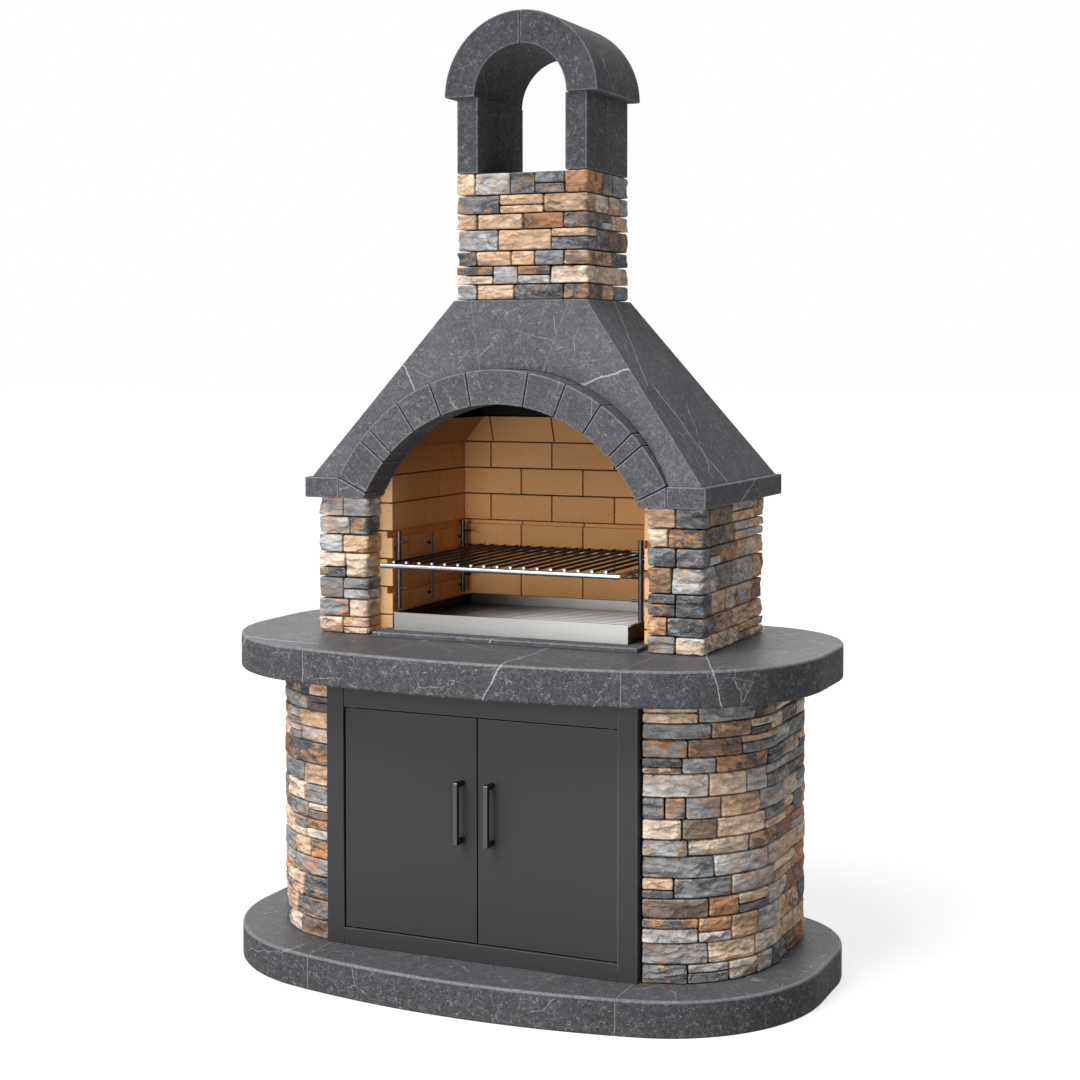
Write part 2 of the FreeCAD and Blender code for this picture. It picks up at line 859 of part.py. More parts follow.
def make_firebox_walls():
    low, high = counter_top, pillar_top
    front = pillar_front + pillar_stone_thickness + stone_bed
    return_outer = rear_half_width - rear_stone_thickness - stone_bed
    loop = [(core_inner, front), (core_outer, front), (core_outer, pillar_back)]
    loop += [(return_outer, pillar_back), (return_outer, tile_back), (core_inner, tile_back)]
    core = prism(loop, low, high)
    export("right_pillar_core", [core])
    export("left_pillar_core", mirrored([core]))
    rear = box(-return_outer, return_outer, rear_core_front, rear_core_back, low, high)
    export("rear_firebox_wall", [rear])
    levels = course_levels(low, pillar_height, pillar_course, 31)
    side = WallPath()
    side.line((stone_inner_face, brick_front), (stone_inner_face, pillar_front))
    side.line((stone_inner_face, pillar_front), (pillar_half_width, pillar_front))
    side.line((pillar_half_width, pillar_front), (pillar_half_width, pillar_back))
    export("right_pillar_stones", lay_stones(side, levels, pillar_stone_thickness, 41))
    export("left_pillar_stones", mirrored(lay_stones(side, levels, pillar_stone_thickness, 42)))
    start = pillar_back + stone_bed
    rear = WallPath()
    rear.line((rear_half_width, start), (rear_half_width, rear_face))
    rear.line((rear_half_width, rear_face), (-rear_half_width, rear_face))
    rear.line((-rear_half_width, rear_face), (-rear_half_width, start))
    export("rear_firebox_stones", lay_stones(rear, levels, rear_stone_thickness, 43))


# Cornice and arch

arch_foot_x = arch_outer * math.sin(math.radians(arch_end_angle))
arch_back = cornice_front + arch_depth


def make_cornice():
    low, high = pillar_top, cornice_top
    outer = cornice_half_width
    foot = arch_foot_x + fine_joint
    step = arch_back + fine_joint
    joint = cornice_joint_y - fine_joint / 2
    loop = [(foot, cornice_front), (outer, cornice_front), (outer, joint), (core_inner, joint)]
    side = prism(loop + [(core_inner, step), (foot, step)], low, high)
    export("cornice_right", [side])
    export("cornice_left", mirrored([side]))
    joint = cornice_joint_y + fine_joint / 2
    loop = [(core_inner, joint), (outer, joint), (outer, cornice_back), (-outer, cornice_back)]
    loop += [(-outer, joint), (-core_inner, joint)]
    loop += [(-core_inner, rear_core_front), (core_inner, rear_core_front)]
    export("cornice_rear", [prism(loop, low, high)])


def arch_point(radius, angle):
    turn = math.radians(angle)
    return vec(radius * math.sin(turn), cornice_front, arch_centre + radius * math.cos(turn))


def arch_block(start, end):
    """Wedge of the arch between two angles from upright, less half a joint each side."""
    edges = []
    ends = []
    for radius, way in ((arch_radius, 1), (arch_outer, -1)):
        trim = math.degrees(arch_joint / 2 / radius)
        angles = (start + trim, (start + end) / 2, end - trim)[::way]
        points = [arch_point(radius, angle) for angle in angles]
        edges.append(Part.Arc(*points).toShape())
        ends.append((points[0], points[-1]))
    edges.insert(1, Part.LineSegment(ends[0][1], ends[1][0]).toShape())
    edges.append(Part.LineSegment(ends[1][1], ends[0][0]).toShape())
    return wire_face(edges).extrude(vec(0, arch_depth, 0))


def make_arch():
    export("keystone", [arch_block(-keystone_half_angle, keystone_half_angle)])
    joints = [keystone_half_angle + voussoir_angle * i for i in range(4)]
    joints += [joints[-1] + closer_angle, arch_end_angle]
    blocks = [arch_block(start, end) for start, end in zip(joints, joints[1:])]
    export("arch_voussoirs_right", blocks)
    export("arch_voussoirs_left", mirrored(blocks))
    trim = math.degrees(arch_joint / 2 / arch_radius)
    inner_tip = arch_point(arch_radius, arch_end_angle + trim)
    outer_tip = arch_point(arch_outer, arch_end_angle + trim)
    loop = [(spring_half_width, pillar_top), (arch_foot_x, pillar_top)]
    loop += [(arch_foot_x, outer_tip.z), (inner_tip.x, inner_tip.z)]
    springer = prism_y(loop, cornice_front, arch_back)
    export("arch_springers", [springer] + mirrored([springer]))


# Hood of sloping slabs

def hood_corner(side, end, level, inside):
    x = slant(hood_foot_half_width, hood_top_half_width, level) - (hood_side_across if inside else 0)
    if end == "front":
        y = slant(hood_foot_front, hood_top_front, level) + (hood_front_across if inside else 0)
    else:
        y = slant(hood_foot_back, hood_top_back, level) - (hood_rear_across if inside else 0)
    return vec(side * x, y, level)


def hood_slab(first, last, low, high):
    """Slab between two ridges, mitred at both, from one level to another."""
    rings = []
    for level in (low, high):
        rings.append([hood_corner(*first, level, False), hood_corner(*last, level, False),
                      hood_corner(*last, level, True), hood_corner(*first, level, True)])
    bottom, top = rings
    loops = [bottom, top]
    for i in range(4):
        j = (i + 1) % 4
        loops.append([bottom[i], bottom[j], top[j], top[i]])
    faces = [Part.Face(Part.makePolygon(loop + loop[:1])) for loop in loops]
    solid = Part.Solid(Part.Shell(faces))
    if solid.Volume < 0:
        solid.reverse()
    return solid


def make_hood():
    front = hood_slab((-1, "front"), (1, "front"), cornice_top, hood_top)
    start = vec(0, cornice_front - arch_depth, arch_centre)
    front = front.cut(Part.makeCylinder(arch_outer + fine_joint, 4 * arch_depth, start, vec(0, 1, 0)))
    foot_level = arch_centre + arch_outer
    rise = (front_joint_top - front_joint_foot) / (hood_top - foot_level)
    low, high = cornice_top, hood_top + cornice_height
    for side in (-1, 1):
        ends = [side * (front_joint_foot + rise * (level - foot_level)) for level in (low, high)]
        half = fine_joint / 2
        loop = [(ends[0] - half, low), (ends[0] + half, low), (ends[1] + half, high), (ends[1] - half, high)]
        front = front.cut(prism_y(loop, cornice_front, chimney_back))
    left, centre, right = sorted(front.Solids, key=lambda solid: solid.CenterOfMass.x)
    export("hood_front_left", [left])
    export("hood_front_centre", [centre])
    export("hood_front_right", [right])
    tier = cornice_top + hood_tier
    half = fine_joint / 2
    lower = hood_slab((1, "front"), (1, "back"), cornice_top, tier - half)
    lower = lower.cut(box(0, cornice_half_width, cornice_joint_y - half, cornice_joint_y + half,
                          cornice_top, tier))
    upper = hood_slab((1, "front"), (1, "back"), tier + half, hood_top)
    export("hood_right_lower", [lower])
    export("hood_left_lower", mirrored(lower.Solids))
    export("hood_right_upper", [upper])
    export("hood_left_upper", mirrored([upper]))
    rear = hood_slab((1, "back"), (-1, "back"), cornice_top, hood_top)
    wide, top = brick_back + stone_bed, bed_levels[tile_courses()]
    rear = rear.cut(box(-wide, wide, brick_front, tile_back + stone_bed, pillar_top, top))
    for low, high, reach in leaning_courses():
        loop = [(leaning_back(level) + stone_bed, level) for level in (low, high)]
        loop += [(brick_front, high), (brick_front, low)]
        rear = rear.cut(prism_x(loop, -reach - stone_bed, reach + stone_bed))
    export("hood_rear", rear.Solids)


# Chimney and cap

def make_chimney():
    inset = chimney_stone_thickness + stone_bed
    half = chimney_half_width - inset
    front, back = chimney_front + inset, chimney_back - inset
    block = box(-half, half, front, back, hood_top, chimney_top)
    block = block.cut(box(-half + flue_wall, half - flue_wall, front + flue_wall, back - flue_wall,
                          hood_top, chimney_top))
    export("chimney_flue", [block])
    wide = chimney_half_width
    path = WallPath()
    path.line((0, chimney_back), (-wide, chimney_back))
    path.line((-wide, chimney_back), (-wide, chimney_front))
    path.line((-wide, chimney_front), (wide, chimney_front))
    path.line((wide, chimney_front), (wide, chimney_back))
    path.line((wide, chimney_back), (0, chimney_back))
    levels = course_levels(hood_top, chimney_height, chimney_course, 51)
    export("chimney_stones", lay_stones(path, levels, chimney_stone_thickness, 52))


def make_cap():
    outer = chimney_half_width - post_side_inset
    front, back = chimney_front + post_end_inset, chimney_back - post_end_inset
    middle = (front + back) / 2
    half = fine_joint / 2
    blocks = [box(outer - post_width, outer, front, middle - half, chimney_top, post_top)]
    blocks.append(box(outer - post_width, outer, middle + half, back, chimney_top, post_top))
    export("cap_post_right", blocks)
    export("cap_post_left", mirrored(blocks))
    start = vec(0, front - cap_end_overhang, post_top)
    depth = back - front + 2 * cap_end_overhang
    ring = Part.makeCylinder(cap_radius, depth, start, vec(0, 1, 0))
    ring = ring.cut(Part.makeCylinder(cap_radius - cap_thickness, depth, start, vec(0, 1, 0)))
    quarter = box(half, cap_radius, start.y, start.y + depth, post_top, post_top + cap_radius)
    quarter = ring.common(quarter)
    export("cap_arch_right", quarter.Solids)
    export("cap_arch_left", mirrored(quarter.Solids))


# Charcoal tray, grill rack and grate

tray_front = pillar_front + tray_front_setback
tray_bottom = hearth_top + tray_clearance
tray_top = tray_bottom + tray_height


def make_tray():
    half, sheet = tray_half_width, tray_sheet
    back = tile_front - tray_rear_gap
    inside = half - tray_rim
    tray = box(-inside, inside, tray_front, back - tray_rim, tray_bottom, tray_top)
    rim = box(-half, half, tray_front, back, tray_top - sheet, tray_top)
    hollow = box(-inside + sheet, inside - sheet, tray_front + sheet, back - tray_rim - sheet,
                 tray_bottom + sheet, tray_top)
    export("charcoal_tray", [joined([tray, rim]).cut(hollow)])
    floor = tray_bottom + sheet
    reach = inside - sheet - fire_grate_gap
    first = tray_front + sheet + fire_grate_gap + fire_bar_radius
    last = back - tray_rim - sheet - fire_grate_gap - fire_bar_radius
    pieces = []
    level = floor + fire_runner_height
    for x in (-reach + fire_runner_inset, 0.0, reach - fire_runner_inset):
        x0 = x - fire_runner_width / 2
        ends = first - fire_bar_radius, last + fire_bar_radius
        runner = box(x0, x0 + fire_runner_width, *ends, floor, level)
        pieces.append(runner)
    count = int((last - first) // fire_bar_pitch) + 1
    spare = (last - first - (count - 1) * fire_bar_pitch) / 2
    for i in range(count):
        y = first + spare + i * fire_bar_pitch
        z = level + fire_bar_radius + weld_gap
        pieces.append(rod(fire_bar_radius, vec(-reach, y, z), vec(reach, y, z)))
    export("fire_grate", pieces)


rack_foot = tray_top + rack_gap
rear_post_offset = firebox_depth - rear_post_gap
rack_x = firebox_half_width - post_wall_gap - post_radius
grate_z = counter_top + grate_level
grate_front = pillar_front - grate_front_reach
grate_back = tile_front - grate_rear_gap


def make_rack():
    """Posts stood off the bricks, with pegs that carry the grate."""
    posts = []
    peg_top = grate_z - grate_bar_radius - seat_clearance
    peg_middle = peg_top - peg_radius
    lowest = peg_middle - peg_spacing * (peg_levels // 2)
    for offset, radius, top in (
        (front_post_offset, post_radius, rack_height),
        ((front_post_offset + rear_post_offset) / 2, rod_radius, rack_height - rod_drop),
        (rear_post_offset, post_radius, rack_height),
    ):
        y = brick_front + offset
        pieces = [rod(radius, vec(rack_x, y, rack_foot), vec(rack_x, y, rack_foot + top))]
        for level in standoff_levels:
            z = rack_foot + level
            pieces.append(rod(standoff_radius, vec(rack_x, y, z), vec(firebox_half_width, y, z)))
        if radius == post_radius:
            for i in range(peg_levels):
                z = lowest + peg_spacing * i
                pieces.append(rod(peg_radius, vec(rack_x, y, z), vec(rack_x - peg_reach, y, z)))
        posts.append(joined(pieces))
    export("rack_posts_right", posts)
    export("rack_posts_left", mirrored(posts))


def make_grate():
    half = grate_half_width
    radius = grate_bar_radius
    bars = [rod(radius, vec(-half, y, grate_z), vec(half, y, grate_z)) for y in (grate_front, grate_back)]
    for side in (-1, 1):
        x = side * (half - grate_side_inset)
        bars.append(rod(radius, vec(x, grate_front, grate_z), vec(x, grate_back, grate_z)))
    export("grate_frame", [joined(bars)])
    rods = []
    z = grate_z + radius + grill_rod_radius + weld_gap
    for i in range(rod_count):
        x = rod_pitch * (i - (rod_count - 1) / 2)
        front = vec(x, grate_front - rod_end_reach, z)
        rods.append(rod(grill_rod_radius, front, vec(x, grate_back + rod_end_reach, z)))
    export("grate_rods", rods)


make_slabs()
make_cabinet_walls()
make_door_frame()
make_hinge_pins()
make_frame_anchors()
make_door_catches()
make_doors()
make_firebox_walls()
make_side_bricks()
make_rear_tiles()
make_linings()
make_hearth()
make_cornice()
make_arch()
make_hood()
make_chimney()
make_cap()
make_tray()
make_rack()
make_grate()
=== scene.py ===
import json
import math
import random

import bmesh
import bpy
import numpy as np
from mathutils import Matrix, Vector


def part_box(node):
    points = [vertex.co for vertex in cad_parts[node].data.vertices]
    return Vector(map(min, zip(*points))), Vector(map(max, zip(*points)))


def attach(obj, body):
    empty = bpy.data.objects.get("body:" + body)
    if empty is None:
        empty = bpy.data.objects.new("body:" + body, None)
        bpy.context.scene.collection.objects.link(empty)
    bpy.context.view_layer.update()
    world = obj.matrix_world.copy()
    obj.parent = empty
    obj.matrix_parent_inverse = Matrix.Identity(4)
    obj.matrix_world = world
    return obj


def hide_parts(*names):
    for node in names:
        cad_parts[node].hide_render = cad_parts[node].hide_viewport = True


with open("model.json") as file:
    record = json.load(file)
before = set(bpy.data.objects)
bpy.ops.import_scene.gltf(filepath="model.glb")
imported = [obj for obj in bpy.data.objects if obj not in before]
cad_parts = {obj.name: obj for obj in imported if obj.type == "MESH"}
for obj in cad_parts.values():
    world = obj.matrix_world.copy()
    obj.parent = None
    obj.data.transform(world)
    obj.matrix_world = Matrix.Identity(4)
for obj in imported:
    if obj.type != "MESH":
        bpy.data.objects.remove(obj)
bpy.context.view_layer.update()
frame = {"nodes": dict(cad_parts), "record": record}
nodes = frame["nodes"]
bodies = frame["record"]["behaviour"]["bodies"]
home_body = {name: body for body, names in bodies.items() for name in names}


# Shader values

class Amount:
    """A shader socket that can be added, multiplied and compared."""

    def __init__(self, finish, socket):
        self.finish = finish
        self.socket = socket

    def sum(self, operation, first, second):
        return self.finish.node("ShaderNodeMath", {"operation": operation}, {0: first, 1: second})

    def __add__(self, other):
        return self.sum("ADD", self, other)

    def __radd__(self, other):
        return self.sum("ADD", other, self)

    def __sub__(self, other):
        return self.sum("SUBTRACT", self, other)

    def __rsub__(self, other):
        return self.sum("SUBTRACT", other, self)

    def __mul__(self, other):
        return self.sum("MULTIPLY", self, other)

    def __rmul__(self, other):
        return self.sum("MULTIPLY", other, self)

    def over(self, low, high):
        """Nothing below low, all above high, eased between."""
        settings = {"interpolation_type": "SMOOTHSTEP"}
        return self.finish.node("ShaderNodeMapRange", settings, {0: self, 1: low, 2: high})

    def under(self, low, high):
        """All below low, nothing above high, eased between."""
        return 1 - self.over(low, high)

    def line(self, middle, width):
        """A thin line where the value passes its middle."""
        away = self.finish.node("ShaderNodeMath", {"operation": "ABSOLUTE"}, {0: self - middle})
        return away.under(width * 0.4, width)


def srgb(red, green, blue):
    """A colour as it is seen, 0 to 255, as the shader's own numbers."""
    parts = [part / 255 for part in (red, green, blue)]
    return tuple(p / 12.92 if p <= 0.04045 else ((p + 0.055) / 1.055) ** 2.4 for p in parts) + (1.0,)


class Finish:
    """A finish: a material and the nodes that colour and roughen it."""

    def __init__(self, name):
        self.material = bpy.data.materials.new(name)
        self.material.use_nodes = True
        self.tree = self.material.node_tree
        self.shader = self.tree.nodes["Principled BSDF"]

    def feed(self, socket, value):
        """A link where the value is a socket's, or else a number or colour set on the socket itself."""
        if isinstance(value, Amount):
            self.tree.links.new(value.socket, socket)
        else:
            socket.default_value = value

    def node(self, kind, settings, sockets, out=0):
        """One new node: its settings first, then the values or links of its sockets."""
        made = self.tree.nodes.new(kind)
        for key, value in settings.items():
            setattr(made, key, value)
        for key, value in sockets.items():
            self.feed(made.inputs[key], value)
        return Amount(self, made.outputs[out])

    def place(self):
        return self.node("ShaderNodeTexCoord", {}, {}, "Object")

    def along(self, place, axis):
        """One of the three measures of a place."""
        return self.node("ShaderNodeSeparateXYZ", {}, {0: place}, axis)

    def face_map(self, name):
        return self.node("ShaderNodeUVMap", {"uv_map": name}, {})

    def noted(self, name, out="Fac"):
        """A value that the modelling has kept on the mesh."""
        return self.node("ShaderNodeAttribute", {"attribute_name": name}, {}, out)

    def seen(self):
        """1 for what the eye or a reflection meets, 0 for the light that falls on the object."""
        kinds = ("Camera", "Glossy", "Transmission")
        rays = [self.node("ShaderNodeLightPath", {}, {}, f"Is {kind} Ray") for kind in kinds]
        return rays[0] + rays[1] + rays[2]

    def moved(self, place, shift):
        return self.node("ShaderNodeVectorMath", {"operation": "ADD"}, {0: place, 1: shift})

    def stretched(self, place, scale, turn=(0, 0, 0)):
        return self.node("ShaderNodeMapping", {}, {"Vector": place, "Scale": scale, "Rotation": turn})

    def grain(self, place, scale, detail=3.0, rough=0.55, swirl=0.0, out=0):
        sockets = {"Vector": place, "Scale": scale, "Detail": detail}
        sockets.update({"Roughness": rough, "Distortion": swirl})
        return self.node("ShaderNodeTexNoise", {}, sockets, out)

    def cells(self, place, scale, feature="F1", space="3D"):
        settings = {"feature": feature, "voronoi_dimensions": space}
        return self.node("ShaderNodeTexVoronoi", settings, {"Vector": place, "Scale": scale}, "Distance")

    def mix(self, share, first, second, blend="MIX"):
        settings = {"data_type": "RGBA", "blend_type": blend}
        return self.node("ShaderNodeMix", settings, {0: share, 6: first, 7: second}, 2)

    def shade(self, colour, amount):
        """A colour made darker or lighter all through."""
        grey = self.node("ShaderNodeCombineColor", {}, {0: amount, 1: amount, 2: amount})
        return self.mix(1.0, colour, grey, "MULTIPLY")

    def bump(self, height, strength, distance):
        sockets = {"Height": height, "Strength": strength, "Distance": distance}
        return self.node("ShaderNodeBump", {}, sockets)

    def set(self, **sockets):
        """Feeds the shader's own sockets, and gives the finished material."""
        for key, value in sockets.items():
            self.feed(self.shader.inputs[key.replace("_", " ")], value)
        return self.material


# Finishes

def slate_finish(name, edge_light, colour, gloss, roughness, fleck=1.0):
    """Dark slate: cloudy grey, short curled flecks and a few long thin veins; its arrises are paler, a
    painted highlight with some wear.
    """
    f = Finish(name)
    place = f.moved(f.place(), f.noted("block_shift", "Vector"))
    drift = f.grain(place, 16.0, 5.0, 0.6, out="Color")
    bent = f.mix(0.022, place, drift)
    cloud = f.grain(place, 7.0, 5.0, 0.62)
    mottle = f.grain(place, 140.0, 4.0, 0.65, 0.6).over(0.30, 0.70)
    speck = f.grain(place, 420.0, 2.0, 0.6)
    level = f.noted("block_tone") * (0.46 + 0.60 * cloud + 0.46 * mottle) * (0.80 + 0.40 * speck)
    colour = f.shade(colour, level)
    curl = f.grain(bent, 84.0, 1.0, 0.5, 0.9).line(0.5, 0.050)
    curl = curl * (0.04 + 0.30 * f.grain(place, 60.0).over(0.52, 0.68))
    weave = f.grain(f.moved(bent, (3.1, 1.7, 5.3)), 150.0, 1.0, 0.5, 0.9).line(0.5, 0.075)
    weave = weave * (0.08 + 0.20 * f.grain(f.moved(place, (4.2, 0.9, 2.6)), 44.0).over(0.48, 0.68))
    dash = f.grain(f.stretched(bent, (70.0, 70.0, 330.0), (0.35, 0.75, 0.2)), 1.0, 2.0).over(0.68, 0.74)
    fine = f.cells(f.stretched(bent, (1.0, 1.0, 1.5), (1.1, 0.2, 0.4)), 6.0, "DISTANCE_TO_EDGE")
    hair = fine.under(0.002, 0.009) * f.grain(place, 9.0, 2.0).over(0.52, 0.62)
    sway = (f.grain(place, 8.0, 5.0, 0.6) - 0.5) * 0.034
    vein = (f.noted("vein_run") + sway).line(0, 0.0020) * f.grain(place, 5.0, 2.0).over(0.30, 0.42)
    side_vein = (f.noted("vein_branch") + 1.6 * sway).line(0, 0.0015)
    side_vein = side_vein * f.grain(place, 6.5, 2.0).over(0.44, 0.56)
    pale = vein * 0.8 + side_vein * 0.5 + hair * 0.4 + fleck * (0.8 * curl + 0.8 * weave + 0.5 * dash)
    colour = f.mix(pale * (0.55 + 0.8 * speck), colour, srgb(190, 190, 193))
    # pale arrises: a painted highlight, with some wear
    if edge_light:
        colour = f.mix(edge_light * (0.45 + 0.55 * mottle), colour, srgb(168, 168, 173))
    height = mottle * 0.5 + speck * 0.3 + f.grain(place, 190.0, 4.0, 0.65) * 0.6 + cloud * 0.6
    dull = roughness + 0.16 * mottle
    relief = f.bump(height, 0.5, 0.0014)
    return f.set(Base_Color=colour, Roughness=dull, Normal=relief, Specular_IOR_Level=gloss)


def ledge_finish():
    """Split ledge stone: a colour each, with patches and rust stains; painted highlights on the chipped
    ridges and rims, painted shade in the hollows.
    """
    f = Finish("ledge_stone")
    face = f.face_map("stone_face")
    drift = f.grain(face, 42.0, rough=0.5, out="Color")
    bent = f.mix(0.026, face, drift)
    patch = f.grain(f.stretched(face, (0.5, 1.0, 1.0)), 22.0, 4.0, 0.58, 1.6).over(0.50, 0.56)
    streak = f.grain(f.stretched(face, (0.22, 1.0, 1.0)), 60.0, 4.0, 0.6, 1.6)
    stain = f.grain(f.stretched(f.moved(face, (7.7, 3.1, 0.0)), (0.6, 1.0, 1.0)), 19.0, 5.0, 0.62, 1.4)
    cloud = f.grain(face, 45.0, 4.0, 0.6)
    fine = f.grain(face, 420.0, 3.0, 0.6)
    long = f.stretched(bent, (0.38, 1.0, 1.0))
    chip = f.cells(long, 74.0, "F1", "2D")
    crest = f.cells(long, 74.0, "DISTANCE_TO_EDGE", "2D").under(0.0, 0.060)
    crest = crest * f.grain(face, 44.0, 2.0).over(0.44, 0.56)
    small = f.stretched(f.moved(bent, (3.3, 8.1, 0.0)), (0.6, 1.0, 1.0))
    nick = f.cells(small, 130.0, "DISTANCE_TO_EDGE", "2D").under(0.0, 0.080)
    nick = nick * f.grain(face, 66.0, 2.0).over(0.50, 0.62)
    other, share = f.noted("patch_colour", "Color"), f.noted("patch_share")
    colour = f.mix(patch * share, f.noted("stone_colour", "Color"), other)
    colour = f.mix(streak.over(0.56, 0.64) * 0.45, colour, other)
    colour = f.mix(stain.over(0.55, 0.60) * share * 0.62, colour, srgb(186, 140, 88))
    colour = f.mix(streak.under(0.36, 0.44) * 0.35, colour, srgb(84, 74, 68))
    # darker where the face is sunk: painted shade in the hollows; lighter on the ridges: painted highlight
    level = (0.76 + 0.58 * cloud) * (0.90 + 0.20 * fine) * (1.14 - 0.54 * f.noted("stone_relief"))
    level = level * (1 + 0.30 * f.noted("stone_ridge")) * (1.14 - 0.34 * chip)
    colour = f.shade(colour, level)
    seam = streak.line(0.49, 0.012) * f.grain(face, 40.0).over(0.48, 0.58)
    colour = f.mix(seam * 0.55, colour, srgb(58, 47, 40))
    # pale rims, crests and nicks: painted highlights
    rim = f.noted("stone_rim").over(0.22, 0.70) * (0.35 + 0.65 * cloud.over(0.42, 0.60))
    colour = f.mix(crest * 0.42 + nick * 0.26 + rim * 0.40, colour, srgb(214, 204, 192))
    height = chip * chip * 1.3 + crest * 0.10 + streak * 0.6 + cloud * 0.6 + fine * 0.10
    relief = f.bump(height, 1.0, 0.0062)
    return f.set(Base_Color=colour, Roughness=0.70 + 0.2 * fine, Normal=relief, Specular_IOR_Level=0.25)


def brick_finish(name, colour):
    """Buff firebrick with a sandy, pitted face, darker towards the hood: smoke and painted shade."""
    f = Finish(name)
    place = f.moved(f.place(), f.noted("block_shift", "Vector"))
    cloud = f.grain(place, 14.0, 4.0, 0.6)
    sand = f.grain(place, 620.0, 3.0, 0.6)
    pit = f.grain(place, 180.0, 2.0, 0.5)
    level = f.noted("block_tone") * (0.80 + 0.26 * cloud) * (0.86 + 0.28 * sand)
    colour = f.shade(colour, level)
    # darker towards the top: smoke and painted shade under the hood
    up = f.along(f.place(), "Z") + 0.12 * (cloud - 0.5)
    colour = f.mix(up.over(0.96, 1.28) * 0.46, colour, srgb(70, 48, 32))
    colour = f.mix(pit.over(0.66, 0.74) * 0.45, colour, srgb(120, 76, 40))
    height = sand * 0.6 + pit.under(0.64, 0.74) * 0.6 + cloud * 0.3
    relief = f.bump(height, 0.35, 0.001)
    return f.set(Base_Color=colour, Roughness=0.86 + 0.1 * sand, Normal=relief, Specular_IOR_Level=0.2)


def soot_and_shade_finish():
    """Sooty inside of the hood, near black: soot and painted shade."""
    f = Finish("sooty_lining")
    place = f.place()
    cloud = f.grain(place, 12.0, 5.0, 0.6)
    fine = f.grain(place, 260.0, 4.0, 0.6)
    colour = f.shade(srgb(34, 32, 31), 0.5 + 0.6 * cloud + 0.4 * fine)
    relief = f.bump(fine + cloud, 0.4, 0.002)
    return f.set(Base_Color=colour, Roughness=0.9 + 0.08 * fine, Normal=relief, Specular_IOR_Level=0.05)


def mortar_finish():
    """Dark, sandy bedding behind the stones."""
    f = Finish("bedding")
    place = f.place()
    sand = f.grain(place, 300.0, 4.0, 0.6)
    colour = f.shade(srgb(66, 60, 54), 0.6 + 0.8 * sand)
    return f.set(Base_Color=colour, Roughness=0.95, Normal=f.bump(sand, 0.5, 0.002), Specular_IOR_Level=0.1)


def block_finish():
    """Grey concrete blocks with flush joints, as inside the cabinet."""
    f = Finish("block_work")
    place = f.place()
    course = f.along(place, "X") + f.along(place, "Y")
    face = f.node("ShaderNodeCombineXYZ", {}, {0: course, 1: f.along(place, "Z")})
    sizes = {"Vector": face, "Scale": 1.0, "Mortar Size": 0.004, "Brick Width": 0.40, "Row Height": 0.155}
    joint = f.node("ShaderNodeTexBrick", {}, sizes, "Fac")
    cloud = f.grain(place, 9.0, 4.0, 0.6)
    pore = f.grain(place, 260.0, 4.0, 0.65)
    colour = f.shade(srgb(158, 156, 151), (0.70 + 0.5 * cloud) * (0.80 + 0.40 * pore))
    colour = f.mix(joint, colour, f.shade(srgb(118, 116, 112), 0.8 + 0.4 * pore))
    relief = f.bump(pore * 0.7 - joint * 0.6, 0.5, 0.003)
    return f.set(Base_Color=colour, Roughness=0.86 + 0.1 * pore, Normal=relief, Specular_IOR_Level=0.15)


def pointing_finish():
    """Pale fine filling between slabs."""
    f = Finish("pale_joint")
    place = f.place()
    sand = f.grain(place, 300.0, rough=0.6)
    patch = f.grain(place, 20.0)
    colour = f.shade(srgb(168, 167, 168), (0.55 + 0.9 * patch) * (0.85 + 0.3 * sand))
    relief = f.bump(sand, 0.2, 0.0005)
    return f.set(Base_Color=colour, Roughness=0.8 + 0.1 * sand, Normal=relief, Specular_IOR_Level=0.1)


def coated_finish(name, colour, roughness):
    """Fine-textured powder coat on steel."""
    f = Finish(name)
    place = f.place()
    peel = f.grain(place, 900.0, 3.0, 0.6)
    cloud = f.grain(place, 3.0, 2.0)
    colour = f.shade(colour, (0.9 + 0.2 * cloud) * (0.93 + 0.14 * peel))
    dull = roughness + 0.12 * peel
    relief = f.bump(peel, 0.16, 0.0006)
    return f.set(Base_Color=colour, Roughness=dull, Normal=relief, Specular_IOR_Level=0.3)


def brushed_finish(name, colour, shaded_left=False):
    """Stainless sheet brushed along its length, blackened towards the left by painted shade and dark
    reflection if asked.
    """
    f = Finish(name)
    place = f.place()
    line = f.grain(f.stretched(place, (6.0, 900.0, 900.0)), 1.0, 3.0, 0.6)
    cloud = f.grain(place, 7.0, 3.0)
    colour = f.shade(colour, 0.80 + 0.24 * line + 0.14 * cloud)
    if shaded_left:
        # black towards the left: painted shade and dark reflection
        across = f.along(place, "X") + 0.25 * (cloud - 0.5)
        colour = f.mix(across.under(-0.30, 0.06) * 0.95, colour, srgb(22, 22, 23))
    relief = f.bump(line, 0.06, 0.0004)
    return f.set(Base_Color=colour, Roughness=0.34 + 0.16 * line, Metallic=0.88, Normal=relief)


def bright_finish():
    """Polished round bar."""
    f = Finish("bright_bar")
    place = f.place()
    line = f.grain(f.stretched(place, (900.0, 20.0, 900.0)), 1.0, 3.0, 0.6)
    haze = f.grain(place, 30.0, 4.0)
    colour = f.shade(srgb(160, 161, 164), 0.8 + 0.3 * haze)
    return f.set(Base_Color=colour, Roughness=0.16 + 0.16 * line + 0.1 * haze, Metallic=1.0)


def smoke_and_shade_finish():
    """Drawn steel darkened by smoke; on the tray's outer ends the same dark steel is painted shade."""
    f = Finish("smoked_post")
    place = f.place()
    haze = f.grain(place, 45.0, 5.0, 0.6)
    fine = f.grain(place, 500.0, 3.0)
    colour = f.shade(srgb(66, 66, 68), 0.6 + 0.8 * haze)
    relief = f.bump(fine, 0.12, 0.0004)
    return f.set(Base_Color=colour, Roughness=0.18 + 0.24 * haze, Metallic=0.92, Normal=relief)


